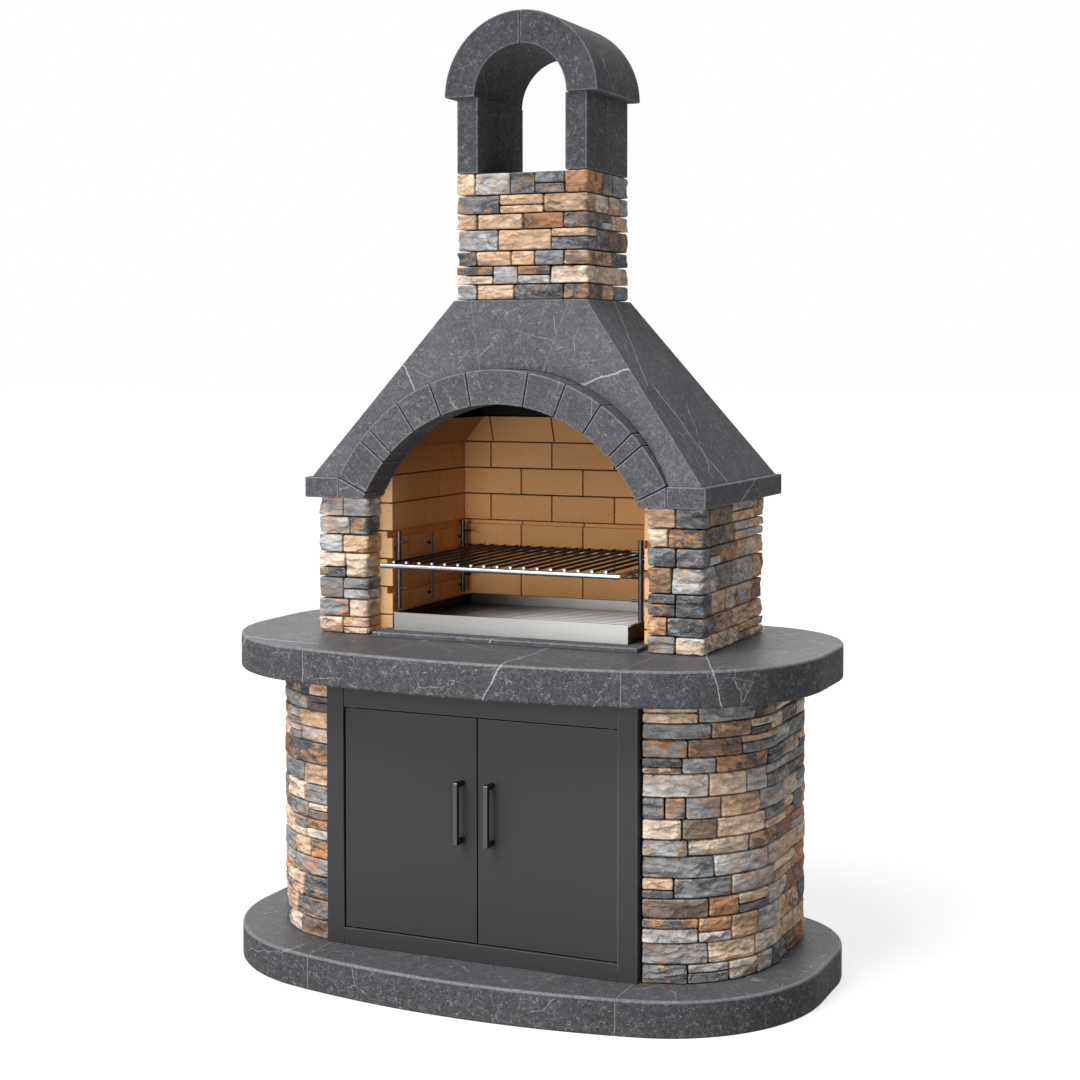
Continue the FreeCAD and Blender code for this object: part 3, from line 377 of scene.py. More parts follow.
def iron_finish():
    """Blackened rods with bare bright ends."""
    f = Finish("blackened_rod")
    place = f.place()
    rough = f.grain(place, 240.0, 4.0, 0.6)
    tip = f.along(place, "Y").under(-0.1535, -0.1495)
    colour = f.mix(tip, f.shade(srgb(15, 15, 16), 0.7 + 0.6 * rough), srgb(182, 182, 183))
    dull = 0.30 + 0.22 * rough - 0.1 * tip
    relief = f.bump(rough, 0.2, 0.0006)
    return f.set(Base_Color=colour, Roughness=dull, Metallic=tip, Normal=relief, Specular_IOR_Level=0.16)


slate = slate_finish("dark_slate", 0, srgb(88, 88, 92), 0.03, 0.60)
# paler arris finishes: a painted highlight, with some wear
slate_edge_highlight = slate_finish("worn_slate_arris", 0.45, srgb(88, 88, 92), 0.03, 0.60)
honed = slate_finish("honed_slate", 0, srgb(81, 81, 84), 0.07, 0.36, 0.75)
honed_side = slate_finish("sawn_slate_side", 0, srgb(72, 72, 75), 0.03, 0.5, 1.15)
honed_edge_highlight = slate_finish("rubbed_slate_arris", 0.48, srgb(79, 79, 82), 0.07, 0.36, 0.6)
ledge = ledge_finish()
brick = brick_finish("buff_firebrick", srgb(249, 187, 123))
# lighter copy of the firebrick for the faces turned to the front: painted light
lit_front_brick = brick_finish("clean_firebrick", srgb(255, 207, 152))
bedding = mortar_finish()
blocks = block_finish()
soot_and_shade = soot_and_shade_finish()
pale_joint = pointing_finish()
door_coat = coated_finish("door_coat", srgb(50, 50, 51), 0.5)
frame_coat = coated_finish("frame_coat", srgb(51, 51, 53), 0.5)
# paler coat for the arrises of doors and frame: painted highlight
arris_highlight_coat = coated_finish("rubbed_coat_arris", srgb(96, 96, 98), 0.4)
handle_coat = coated_finish("handle_coat", srgb(15, 15, 16), 0.40)
# lighter coat for the handle fronts: painted sheen
grip_sheen_coat = coated_finish("rubbed_grip", srgb(76, 76, 78), 0.34)
brushed = brushed_finish("brushed_stainless", srgb(155, 154, 152))
painted_shade_sheet = brushed_finish("heat_dulled_sheet", srgb(166, 165, 164), True)
bright = bright_finish()
smoke_and_shade_steel = smoke_and_shade_finish()
iron = iron_finish()


# Modelling

# a part of a face's normal, degrees, and then sizes in metres as everywhere here
square_on = 0.9
flat_enough = 0.3
merge_reach = 0.00001
lift_off = 0.00005
joint_reach = 0.002
pointing_recess = 0.0004
beyond_holes = 0.004


def clear_pick():
    bpy.ops.object.select_all(action="DESELECT")


def take_up(piece):
    """The one piece in hand."""
    clear_pick()
    piece.select_set(True)
    bpy.context.view_layer.objects.active = piece


def pick_sharp(piece, least, seams, shortest):
    """Selects the arrises of more than the least angle, in degrees, and those of joints if asked."""
    shape = bmesh.from_edit_mesh(piece.data)
    for edge in shape.edges:
        edge.select_set(False)
    for edge in shape.edges:
        sharp = len(edge.link_faces) == 2 and edge.calc_face_angle(0.0) > math.radians(least)
        edge.select_set(sharp and edge.calc_length() > shortest and (seams or not edge.seam))
    shape.select_flush_mode()
    bmesh.update_edit_mesh(piece.data)


def spots_of(mesh):
    """The places of the mesh's vertices, one a row."""
    spots = np.zeros(len(mesh.vertices) * 3)
    mesh.vertices.foreach_get("co", spots)
    return spots.reshape(-1, 3)


def paint(piece, slot, wanted):
    """Gives the faces that are wanted the finish in a slot of the piece."""
    for face in piece.data.polygons:
        if wanted(face):
            face.material_index = slot


def lumps(mesh):
    """A number for each vertex: which separate lump of the mesh it belongs to."""
    label = np.arange(len(mesh.vertices))
    ends = np.zeros(len(mesh.edges) * 2, np.int64)
    mesh.edges.foreach_get("vertices", ends)
    first, second = ends.reshape(-1, 2).T
    while True:
        least = np.minimum(label[first], label[second])
        fresh = label.copy()
        np.minimum.at(fresh, first, least)
        np.minimum.at(fresh, second, least)
        fresh = fresh[fresh]
        if np.array_equal(fresh, label):
            return np.unique(label, return_inverse=True)[1]
        label = fresh


def note(mesh, name, kind, values):
    """Keeps a value for each vertex, for the finishes to read."""
    layer = mesh.attributes.new(name, kind, "POINT")
    field = {"FLOAT": "value", "FLOAT_VECTOR": "vector", "FLOAT_COLOR": "color"}[kind]
    layer.data.foreach_set(field, np.asarray(values, np.float32).ravel())


def note_blocks(mesh, seed, spread, tone=1.0):
    """Each block its own tone and its own part of the pattern, drawn by chance from the seed."""
    label = lumps(mesh)
    chance = np.random.default_rng(seed)
    count = label.max() + 1
    note(mesh, "block_tone", "FLOAT", tone * chance.uniform(1 - spread, 1 + spread, count)[label])
    note(mesh, "block_shift", "FLOAT_VECTOR", chance.uniform(-pattern_room, pattern_room, (count, 3))[label])
    return label, chance


def note_veins(mesh, label, chance, known=None, plain=False):
    """Two veins through each block, as distances from two planes; a plain block has no long one."""
    spots = spots_of(mesh)
    for name, share in (("vein_run", 0.35), ("vein_branch", 0.7)):
        away = np.zeros(len(spots))
        for number in range(label.max() + 1):
            own = label == number
            low, high = spots[own].min(axis=0), spots[own].max(axis=0)
            through = (low + high) / 2 + chance.uniform(-share, share, 3) * (high - low) / 2
            facing = chance.normal(size=3) * (1.0, 0.6, 0.8)
            if (high - low).max() < small_block and chance.random() < veinless_share:
                through = through + facing / np.linalg.norm(facing)
            if known is not None and name == "vein_run":
                through, ahead, down = (np.array(point) for point in known)
                facing = np.cross(ahead - through, down - through)
            away[own] = (spots[own] - through) @ (facing / np.linalg.norm(facing))
            if plain and name == "vein_run":
                away[own] += out_of_reach
        note(mesh, name, "FLOAT", away)


def merged_copy(name, node):
    """A copy of a solid as clean flat faces."""
    piece = bpy.data.objects.new(name, nodes[node].data.copy())
    bpy.context.scene.collection.objects.link(piece)
    piece.data.name = name
    piece.data.materials.clear()
    take_up(piece)
    bpy.ops.object.mode_set(mode="EDIT")
    bpy.ops.mesh.select_all(action="SELECT")
    bpy.ops.mesh.customdata_custom_splitnormals_clear()
    bpy.ops.mesh.remove_doubles(threshold=merge_reach)
    bpy.ops.mesh.dissolve_limited(angle_limit=math.radians(flat_enough))
    bpy.ops.object.mode_set(mode="OBJECT")
    return piece


def joint_sides(piece, node):
    """The flat faces that stand close against another block, and how wide each joint is."""
    found = {}
    scene = bpy.context.scene
    view = bpy.context.evaluated_depsgraph_get()
    for face in piece.data.polygons:
        start = face.center + face.normal * lift_off
        hit, spot, _, _, other, _ = scene.ray_cast(view, start, face.normal, distance=joint_reach)
        if hit and node.split("_")[0] in other.name:
            found[face.index] = (spot - start).length + lift_off
    return found


def eased(piece, width, segments, least=28, edge_slot=-1, seams=False, shortest=0.0):
    """Takes the sharpness off the arrises."""
    take_up(piece)
    bpy.ops.object.mode_set(mode="EDIT")
    bpy.ops.mesh.select_mode(type="EDGE")
    pick_sharp(piece, least, seams, shortest)
    settings = {"affect": "EDGES", "clamp_overlap": True, "material": edge_slot}
    bpy.ops.mesh.bevel(offset=width, segments=segments, **settings)
    bpy.ops.mesh.select_all(action="DESELECT")
    bpy.ops.object.mode_set(mode="OBJECT")


def smoothed(piece, angle, flat_faces=True):
    """Shades the arrises round; the large faces stay flat."""
    take_up(piece)
    bpy.ops.object.shade_smooth_by_angle(angle=math.radians(angle))
    if flat_faces:
        bpy.ops.object.modifier_add(type="WEIGHTED_NORMAL")
        piece.modifiers[-1].keep_sharp = True
        bpy.ops.object.modifier_apply(modifier=piece.modifiers[-1].name)


def settled(piece, node):
    """Puts the finished piece in the node's place, on its body."""
    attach(piece, home_body[node])
    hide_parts(node)
    return piece


def keep_joints_tight(piece, node):
    """Marks the edges of the joints with a seam, so that they stay sharp."""
    sides = joint_sides(piece, node)
    around = {key for index in sides for key in piece.data.polygons[index].edge_keys}
    for edge in piece.data.edges:
        edge.use_seam = edge.key in around


def slate_block(node, seed, width, surface, arris, spread=0.10, tone=1.0):
    """One slate node with pale arrises as a painted highlight with some wear, soot and painted shade on the
    faces turned down under the hood, sawn on the sides of the honed slabs.
    """
    piece = merged_copy(node + "_dressed", node)
    piece.data.materials.append(surface)
    piece.data.materials.append(arris)
    if node.startswith(pointed):
        keep_joints_tight(piece, node)
    eased(piece, width, segments=3, least=22, edge_slot=1)
    if node.startswith(pointed):
        eased(piece, tight_arris, segments=1, least=40, edge_slot=1, seams=True)
    # faces turned down high in the hood are near black: soot and painted shade
    if node.startswith("hood"):
        piece.data.materials.append(soot_and_shade)
        paint(piece, 2, lambda face: face.normal.z < -0.25 and face.center.z > soot_and_shade_from)
    if surface == honed:
        piece.data.materials.append(honed_side)
        # Faces turned down, the lower arrises among them, take the sawn side, so that the painted highlight
        # stays on the upper arrises.
        paint(piece, 2, lambda face: face.normal.z < -0.2 or face.material_index == 0 and face.normal.z < 0.5)
    label, chance = note_blocks(piece.data, seed, spread, tone)
    note_veins(piece.data, label, chance, known_veins.get(node), node.startswith("base"))
    smoothed(piece, angle=32)
    settled(piece, node)


def pointing(name, start):
    """Pale filling in the joints between the slabs of one course."""
    parts = []
    for node in [node for node in slate_nodes if node.startswith(start)]:
        part = merged_copy(name, node)
        sides = joint_sides(part, node)
        take_up(part)
        bpy.ops.object.mode_set(mode="EDIT")
        bpy.ops.mesh.select_mode(type="FACE")
        shape = bmesh.from_edit_mesh(part.data)
        shape.faces.ensure_lookup_table()
        for face in shape.faces:
            face.select_set(face.index not in sides)
        bmesh.update_edit_mesh(part.data)
        bpy.ops.mesh.delete(type="FACE")
        bpy.ops.mesh.select_all(action="SELECT")
        bpy.ops.mesh.inset(thickness=pointing_recess, use_boundary=True)
        bpy.ops.mesh.select_all(action="INVERT")
        bpy.ops.mesh.delete(type="FACE")
        bpy.ops.mesh.select_all(action="SELECT")
        fill = max(sides.values(), default=0.0) / 2
        bpy.ops.mesh.extrude_region_shrink_fatten(TRANSFORM_OT_shrink_fatten={"value": fill})
        bpy.ops.object.mode_set(mode="OBJECT")
        parts.append(part)
    clear_pick()
    for part in parts:
        part.select_set(True)
    bpy.context.view_layer.objects.active = parts[0]
    bpy.ops.object.join()
    piece = parts[0]
    piece.data.materials.clear()
    piece.data.materials.append(pale_joint)
    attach(piece, home_body[slate_nodes[0]])


def plain_piece(node, finish, width, segments=2, arris=None, shortest=0.0):
    """One metal node with eased arrises, these in a finish of their own if it is given."""
    piece = merged_copy(node + "_finished", node)
    piece.data.materials.append(finish)
    if arris:
        piece.data.materials.append(arris)
    eased(piece, width, segments, edge_slot=1 if arris else -1, shortest=shortest)
    smoothed(piece, angle=38)
    return settled(piece, node)


def door_handle(node):
    """A square bar: dark sides, a lighter grip in front as painted sheen, bare bright metal at the top front
    corner as a painted highlight.
    """
    handle = plain_piece(node, handle_coat, handle_arris, segments=3, shortest=beyond_holes)
    handle.data.materials.append(grip_sheen_coat)
    handle.data.materials.append(bright)
    _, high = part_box(node)
    for face in handle.data.polygons:
        top_highlight = face.normal.z > 0.2 and face.center.z > high.z - top_highlight_height
        # lighter front faces: painted sheen; bare bright metal on the top front bevel: painted highlight
        if face.normal.y < -square_on:
            face.material_index = 1
        elif face.normal.y < -0.2 and top_highlight:
            face.material_index = 2


# Slate

slate_nodes = [
    "base_slab_centre", "base_slab_left", "base_slab_right",
    "counter_slab_centre", "counter_slab_left", "counter_slab_right", "hearth_slab",
    "cornice_left", "cornice_rear", "cornice_right",
    "arch_springers", "arch_voussoirs_left", "arch_voussoirs_right", "keystone",
    "hood_front_centre", "hood_front_left", "hood_front_right",
    "hood_left_lower", "hood_left_upper", "hood_right_lower", "hood_right_upper", "hood_rear",
    "cap_post_left", "cap_post_right", "cap_arch_left", "cap_arch_right",
]
pointed = ("base", "counter", "hood")
slate_seed = 300
slab_arris, block_arris, tight_arris = 0.0055, 0.0032, 0.0010
slab_spread = 0.05
cap_tone, hood_front_tone = 0.84, 1.12
small_block, veinless_share = 0.30, 0.93
pattern_room, out_of_reach = 8, 9.0
# height above which faces turned down in the hood are near black: soot and painted shade
soot_and_shade_from = 1.15
known_veins = {
    "counter_slab_centre": [(0.124, -0.109, 0.772), (0.126, -0.387, 0.772), (0.086, -0.400, 0.697)],
}
for start in pointed:
    pointing(start + "_pointing", start)
for number, node in enumerate(slate_nodes, slate_seed):
    if node.startswith(("base", "counter")):
        slate_block(node, number, slab_arris, honed, honed_edge_highlight, slab_spread)
        continue
    tone = 1.0
    if node.startswith("cap"):
        tone = cap_tone
    elif node.startswith("hood_front"):
        tone = hood_front_tone
    slate_block(node, number, block_arris, slate, slate_edge_highlight, tone=tone)


# Ledge stones

class WallLine:
    """The face line of a stone wall in plan, measured along its length; corners are a little rounded."""

    def __init__(self, thickness):
        self.thickness = thickness
        self.runs = []
        self.length = 0.0

    def straight(self, start, end):
        start, end = np.array(start), np.array(end)
        size = np.linalg.norm(end - start)
        along = (end - start) / size
        self.runs.append(("straight", self.length, size, start, along, np.array((along[1], -along[0]))))
        self.length += size
        return self

    def curve(self, centre, radius, first, last):
        size = radius * (last - first)
        self.runs.append(("curve", self.length, size, np.array(centre), radius, first))
        self.length += size
        return self

    def cornered(self, points, radius):
        """Straight runs between the points, with each corner turned on a small radius."""
        points = [np.array(point) for point in points]
        start = points[0]
        for before, corner, after in zip(points, points[1:], points[2:]):
            ahead = (corner - before) / np.linalg.norm(corner - before)
            turn = (after - corner) / np.linalg.norm(after - corner)
            self.straight(start, corner - ahead * radius)
            out = np.array((ahead[1], -ahead[0]))
            first = math.atan2(out[1], out[0])
            self.curve(corner - ahead * radius - out * radius, radius, first, first + math.pi / 2)
            start = corner + turn * radius
        self.straight(start, points[-1])
        return self

    def place(self, along, depth):
        """Plan points for distances along the line and depths behind it."""
        found = np.zeros((len(along), 2))
        last = len(self.runs) - 1
        for number, (kind, start, size, origin, *way) in enumerate(self.runs):
            inside = np.ones(len(along), bool)
            if number > 0:
                inside &= along >= start
            if number < last:
                inside &= along <= start + size
            s = along[inside] - start
            d = depth[inside]
            if kind == "straight":
                ahead, out = way
                found[inside] = origin + s[:, None] * ahead - d[:, None] * out
                continue
            radius, first = way
            angle = first + s / radius
            out = np.stack((np.cos(angle), np.sin(angle)), 1)
            if radius > self.thickness:
                found[inside] = origin + out * (radius - d)[:, None]
            else:
                middle = first + size / radius / 2
                inner = np.array((math.cos(middle), math.sin(middle)))
                inner = inner * (radius - self.thickness) * math.sqrt(2)
                share = np.clip(d / self.thickness, 0, 1)[:, None]
                found[inside] = origin + out * radius * (1 - share) + inner * share
        return found

    def measure(self, points):
        """Distances along the line, and depths behind it, of plan points."""
        best = np.full(len(points), 1e9)
        along = np.zeros(len(points))
        depth = np.zeros(len(points))
        for kind, start, size, origin, *way in self.runs:
            rel = points - origin
            if kind == "straight":
                ahead, out = way
                reach = rel @ ahead
                d = -(rel @ out)
            else:
                radius, first = way
                angle = np.arctan2(rel[:, 1], rel[:, 0])
                reach = (np.mod(angle - first + math.pi, 2 * math.pi) - math.pi) * radius
                d = radius - np.linalg.norm(rel, axis=1)
            s = np.clip(reach, 0, size)
            miss = np.abs(reach - s)
            cost = miss * 3 + np.maximum(-d, 0) + np.maximum(d - self.thickness, 0) * 5 + np.abs(d) * 0.01
            better = cost < best
            best = np.where(better, cost, best)
            along = np.where(better, s + start, along)
            depth = np.where(better, d, depth)
        return along, depth


def cut_stone(length, height, depth):
    """One ledge stone at its size: a face of small cells, rounded arrises and a plain back."""
    clear_pick()
    across, up = max(6, round(length / stone_cell)), max(3, round(height / stone_cell))
    bpy.ops.mesh.primitive_grid_add(x_subdivisions=across, y_subdivisions=up, size=1)
    stone = bpy.context.object
    bpy.ops.object.mode_set(mode="EDIT")
    bpy.ops.mesh.select_mode(type="EDGE")
    bpy.ops.transform.resize(value=(length, height, 1))
    bpy.ops.mesh.select_all(action="SELECT")
    bpy.ops.mesh.region_to_loop()
    bpy.ops.mesh.extrude_edges_move(TRANSFORM_OT_translate={"value": (0, 0, -depth)})
    bpy.ops.mesh.edge_face_add()
    shape = bmesh.from_edit_mesh(stone.data)
    for edge in shape.edges:
        front = all(abs(vert.co.z) < 1e-6 for vert in edge.verts)
        side = any(abs(face.normal.z) < 0.5 for face in edge.link_faces)
        edge.select_set(front and side)
    bmesh.update_edit_mesh(stone.data)
    bpy.ops.mesh.bevel(offset=min(stone_arris, height * 0.10), segments=2, affect="EDGES")
    bpy.ops.mesh.select_all(action="SELECT")
    bpy.ops.mesh.normals_make_consistent(inside=False)
    bpy.ops.object.mode_set(mode="OBJECT")
    points = spots_of(stone.data)
    faces = [tuple(face.vertices) for face in stone.data.polygons]
    bpy.data.objects.remove(stone)
    return points, faces


stone_cell, stone_arris, stone_depth = 0.0034, 0.0019, 0.026
stone_back = 0.02
corner_radius = 0.0042
bedding_gap = 0.0008
stone_sizes = [(long, high) for long in (0.045, 0.075, 0.105, 0.145, 0.19) for high in (0.019, 0.042)]
stone_stock = {size: cut_stone(*size, stone_depth) for size in stone_sizes}
full_relief, proud_share = 0.017, 0.84
deepest_drop, relief_reach = 0.0080, 0.014
# depths for the painted shade in the hollows and the painted highlight at the rims
noted_drop, noted_rim = 0.0085, 0.0034
light_range = (0.86, 1.16)
patch_shares = (0.25, 0.5, 0.8, 0.95)

cream, tan, rust, brown = srgb(221, 197, 173), srgb(203, 168, 137), srgb(176, 128, 92), srgb(121, 100, 85)
pale_grey, mid_grey, dark_grey = srgb(179, 177, 175), srgb(134, 135, 137), srgb(80, 83, 88)
stone_colours = [
    (cream, tan, 13), (cream, pale_grey, 10), (tan, cream, 11), (tan, brown, 6),
    (rust, dark_grey, 5), (rust, tan, 4),
    (pale_grey, mid_grey, 13), (pale_grey, tan, 9), (mid_grey, dark_grey, 12), (mid_grey, rust, 5),
    (dark_grey, mid_grey, 14), (dark_grey, rust, 5), (brown, rust, 4), (brown, dark_grey, 5),
]


def chance_at(column, row, salt):
    """A settled chance, 0 to 1, for each square of a face."""
    mixed = (column * 374761393 + row * 668265263 + salt * 974711) & 0xFFFFFFFF
    mixed = ((mixed ^ (mixed >> 13)) * 1274126177) & 0xFFFFFFFF
    return (mixed ^ (mixed >> 16)) / 2.0 ** 32


def ripple(u, v):
    """Smooth chance heights, about -1 to 1, over the points of a face."""
    column, row = np.floor(u).astype(np.int64), np.floor(v).astype(np.int64)
    fu, fv = u - column, v - row
    ease_u, ease_v = (f * f * f * (f * (f * 6 - 15) + 10) for f in (fu, fv))
    total = np.zeros(len(u))
    for du in (0, 1):
        for dv in (0, 1):
            angle = chance_at(column + du, row + dv, 0) * 2 * math.pi
            slope = np.cos(angle) * (fu - du) + np.sin(angle) * (fv - dv)
            total += slope * (ease_u if du else 1 - ease_u) * (ease_v if dv else 1 - ease_v)
    return total * 1.6


def scoops(u, v, wide, high):
    """Hollows as a chisel leaves them: their height, and how far a point is from the ridge between two."""
    p, q = u / wide, v / high
    column, row = np.floor(p).astype(np.int64), np.floor(q).astype(np.int64)
    lowest = np.full(len(u), 9.0)
    second = lowest.copy()
    for over in (-1, 0, 1):
        for up in (-1, 0, 1):
            spot = column + over, row + up
            away = (p - spot[0] - chance_at(*spot, 1)) ** 2 + (q - spot[1] - chance_at(*spot, 2)) ** 2
            level = away + 0.5 * chance_at(*spot, 3)
            second = np.minimum(second, np.maximum(lowest, level))
            lowest = np.minimum(lowest, level)
    return lowest, second - lowest


def split_face(u, v):
    """Heights of a split face in metres, from long chipped hollows, and its ridges, 0 to 1."""
    bend_u = 0.016 * ripple(u * 20 + 7.3, v * 26)
    bend_v = 0.009 * ripple(u * 22, v * 30 + 2.9)
    deep, clear = scoops(u + bend_u, v + bend_v, 0.078, 0.019)
    fine, _ = scoops(u + bend_u / 2 + 3.1, v + bend_v / 2, 0.034, 0.012)
    height = 0.0056 * deep + 0.0018 * fine + 0.0020 * ripple(u * 9, v * 30)
    return height, np.clip(1 - clear / 0.38, 0, 1) ** 1.5


def rounded_corners(x, y, half_long, half_high, radius):
    """Draws the points near the four corners of a face in, on to the radius."""
    over_x, over_y = np.abs(x) - (half_long - radius), np.abs(y) - (half_high - radius)
    near = (over_x > 0) & (over_y > 0)
    size = np.hypot(over_x, over_y)
    draw = np.where(near, np.maximum(over_x, over_y) / np.where(near, size, 1), 1)
    x = np.where(near, np.sign(x) * (half_long - radius + over_x * draw), x)
    y = np.where(near, np.sign(y) * (half_high - radius + over_y * draw), y)
    return x, y


def nearest_stock(length, height):
    """The stock stone that has to be stretched least; a wrong height counts for more."""
    def stretch(size):
        return abs(math.log(size[0] / length)) + 1.5 * abs(math.log(size[1] / height))
    return min(stone_sizes, key=stretch)


def ledge_wall(node, line, seed, mirrored):
    """Dresses every stone of a wall: cut, bent to the line, and split on its face."""
    side = -1 if mirrored else 1
    source = merged_copy("laid_" + node, node)
    spots = spots_of(source.data)
    label = lumps(source.data)
    along, depth = line.measure(spots[:, :2] * (side, 1))
    bpy.data.objects.remove(source)
    chance = random.Random(seed)
    points, faces, maps = [], [], []
    kept = {
        ("stone_colour", "FLOAT_COLOR"): [], ("patch_colour", "FLOAT_COLOR"): [],
        ("patch_share", "FLOAT"): [], ("stone_relief", "FLOAT"): [],
        ("stone_ridge", "FLOAT"): [], ("stone_rim", "FLOAT"): [],
    }
    weights = [weight for _, _, weight in stone_colours]
    total = 0
    for number in range(label.max() + 1):
        own = label == number
        s0, s1 = along[own].min(), along[own].max()
        z0, z1 = spots[own, 2].min(), spots[own, 2].max()
        size = nearest_stock(s1 - s0, z1 - z0)
        stock, sides = stone_stock[size]
        local = stock * ((s1 - s0) / size[0], (z1 - z0) / size[1], 1)
        local[local[:, 2] < -stone_back, 2] = bedding_gap - line.thickness
        turn = chance.choice((-1, 1))
        offset = (chance.uniform(-20, 20), chance.uniform(-20, 20))
        half_long, half_high = (s1 - s0) / 2, (z1 - z0) / 2
        x, y = local[:, 0], local[:, 1]
        u, v = x * turn + offset[0], y + offset[1]
        near = np.minimum(half_long - np.abs(x), half_high - np.abs(y))
        rim = 1 - np.clip(near / min(0.0055, half_high * 0.4), 0, 1)
        lean = chance.uniform(-0.0016, 0.0016) * x / half_long
        lean = lean + chance.uniform(-0.002, 0.002) * y / half_high
        worked = min(1.0, half_high / full_relief)
        height, ridge = split_face(u, v)
        height = (height + lean - 0.0020 * rim * rim) * worked
        drop = np.clip(np.quantile(height, proud_share) - height, 0, deepest_drop)
        drop = drop * np.clip(1 + local[:, 2] / relief_reach, 0, 1)
        wander = 1 + ripple(v * 45, u * 0 + offset[0])
        x = x - 0.0006 * worked * wander * np.sign(x) * (np.abs(x) / half_long) ** 6
        wander = 1 + ripple(u * 38, u * 0 + offset[1])
        y = y - 0.0005 * worked * wander * np.sign(y) * (np.abs(y) / half_high) ** 6
        back = np.clip(depth[own].min(), 0, 0.004) / 2 - local[:, 2] + drop
        x, y = rounded_corners(x, y, half_long, half_high, min(corner_radius, half_high * 0.6))
        plan = line.place((s0 + s1) / 2 + x, back)
        points.append(np.column_stack((plan[:, 0] * side, plan[:, 1], (z0 + z1) / 2 + y)))
        faces.extend([tuple(v + total for v in (face[::-1] if mirrored else face)) for face in sides])
        maps.append(np.column_stack((u, v)))
        colour, patch, _ = chance.choices(stone_colours, weights)[0]
        light = chance.uniform(*light_range)
        # the relief, ridge and rim notes give the finish its painted shade in the hollows and painted
        # highlights on ridges and rims
        values = (
            np.tile([part * light for part in colour[:3]] + [1], (len(local), 1)),
            np.tile(patch, (len(local), 1)),
            np.full(len(local), chance.choice(patch_shares)),
            np.clip(drop / noted_drop, 0, 1),
            np.clip(ridge + 1.8 * rim * (1 - rim), 0, 1),
            (1 - np.clip(near / noted_rim, 0, 1)) * np.clip(1 + local[:, 2] / 0.003, 0, 1),
        )
        for entry, value in zip(kept.values(), values):
            entry.append(value)
        total += len(local)
    mesh = bpy.data.meshes.new(node + "_split")
    mesh.from_pydata(np.concatenate(points), [], faces)
    maps = np.concatenate(maps)
    corner = np.zeros(len(mesh.loops), np.int64)
    mesh.loops.foreach_get("vertex_index", corner)
    mesh.uv_layers.new(name="stone_face").data.foreach_set("uv", maps[corner].astype(np.float32).ravel())
    for (name, kind), values in kept.items():
        note(mesh, name, kind, np.concatenate(values))
    piece = bpy.data.objects.new(node + "_split", mesh)
    bpy.context.scene.collection.objects.link(piece)
    mesh.materials.append(ledge)
    smoothed(piece, angle=42, flat_faces=False)
    settled(piece, node)


def cabinet_line():
    """The right side of the cabinet: a wide curve at the front, a straight side, a curve to the rear."""
    side_x, front_y, rear_y = 0.612, 0.0095, 0.1865
    front_radius, rear_radius, inner_radius = 0.266, 0.190, 0.236
    past_frame = 0.035
    line = WallLine(base_facing)
    line.curve((0.346, front_y), front_radius, -math.pi / 2 + math.asin(past_frame / inner_radius), 0.0)
    line.straight((side_x, front_y), (side_x, rear_y))
    line.curve((rear_x, rear_y), rear_radius, 0.0, math.pi / 2)
    return line


def pillar_line():
    """The right pillar: from the firebox round the front to the rear."""
    corners = [(0.348, -0.060), (0.348, -0.128), (0.4817, -0.128), (0.4817, 0.306)]
    return WallLine(pillar_facing).cornered(corners, wall_corner)


base_facing, pillar_facing, rear_facing = 0.030, 0.034, 0.027
wall_corner = 0.010
rear_x, rear_face = 0.422, 0.3765
stone_seed = 11
low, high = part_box("chimney_stones")
chimney_corners = [
    (0, high.y), (low.x, high.y), (low.x, low.y), (high.x, low.y), (high.x, high.y), (0, high.y),
]
low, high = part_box("rear_firebox_stones")
rear_corners = [(high.x, low.y), (high.x, high.y), (low.x, high.y), (low.x, low.y)]
stone_walls = {
    "right_base_stones": cabinet_line(),
    "left_base_stones": cabinet_line(),
    "rear_base_stones": WallLine(base_facing).straight((rear_x, rear_face), (-rear_x, rear_face)),
    "right_pillar_stones": pillar_line(),
    "left_pillar_stones": pillar_line(),
    "rear_firebox_stones": WallLine(rear_facing).cornered(rear_corners, wall_corner),
    "chimney_stones": WallLine(base_facing).cornered(chimney_corners, wall_corner),
}
for seed, (node, line) in enumerate(stone_walls.items(), stone_seed):
    ledge_wall(node, line, seed, node.startswith("left"))


# Firebricks

brick_nodes = [
    "left_firebricks", "right_firebricks", "rear_fire_tiles", "hood_lining_left", "hood_lining_right",
]
brick_seed, brick_arris, brick_spread = 500, 0.0014, 0.07
# hood linings darker all through: painted shade
lining_shade_tone = 0.66
front_depth = 0.01
for number, node in enumerate(brick_nodes, brick_seed):
    piece = merged_copy(node + "_laid", node)
    piece.data.materials.append(brick)
    piece.data.materials.append(lit_front_brick)
    low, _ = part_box(node)
    # front faces of the jamb bricks take the lighter copy: painted light
    for face in piece.data.polygons:
        in_front = face.normal.y < -square_on and face.center.y < low.y + front_depth
        if in_front and node.endswith("firebricks"):
            face.material_index = 1
    eased(piece, brick_arris, segments=2)
    note_blocks(piece.data, number, brick_spread, lining_shade_tone if node.startswith("hood") else 1.0)
    smoothed(piece, angle=30)
    settled(piece, node)


# Block work behind the stones, seen only through their joints

for node in ["rear_firebox_wall", "chimney_flue"]:
    nodes[node].data.materials.clear()
    nodes[node].data.materials.append(bedding)


# Cabinet walls and pillar cores: bedding behind the stones, bare blocks inside and at the rear corners

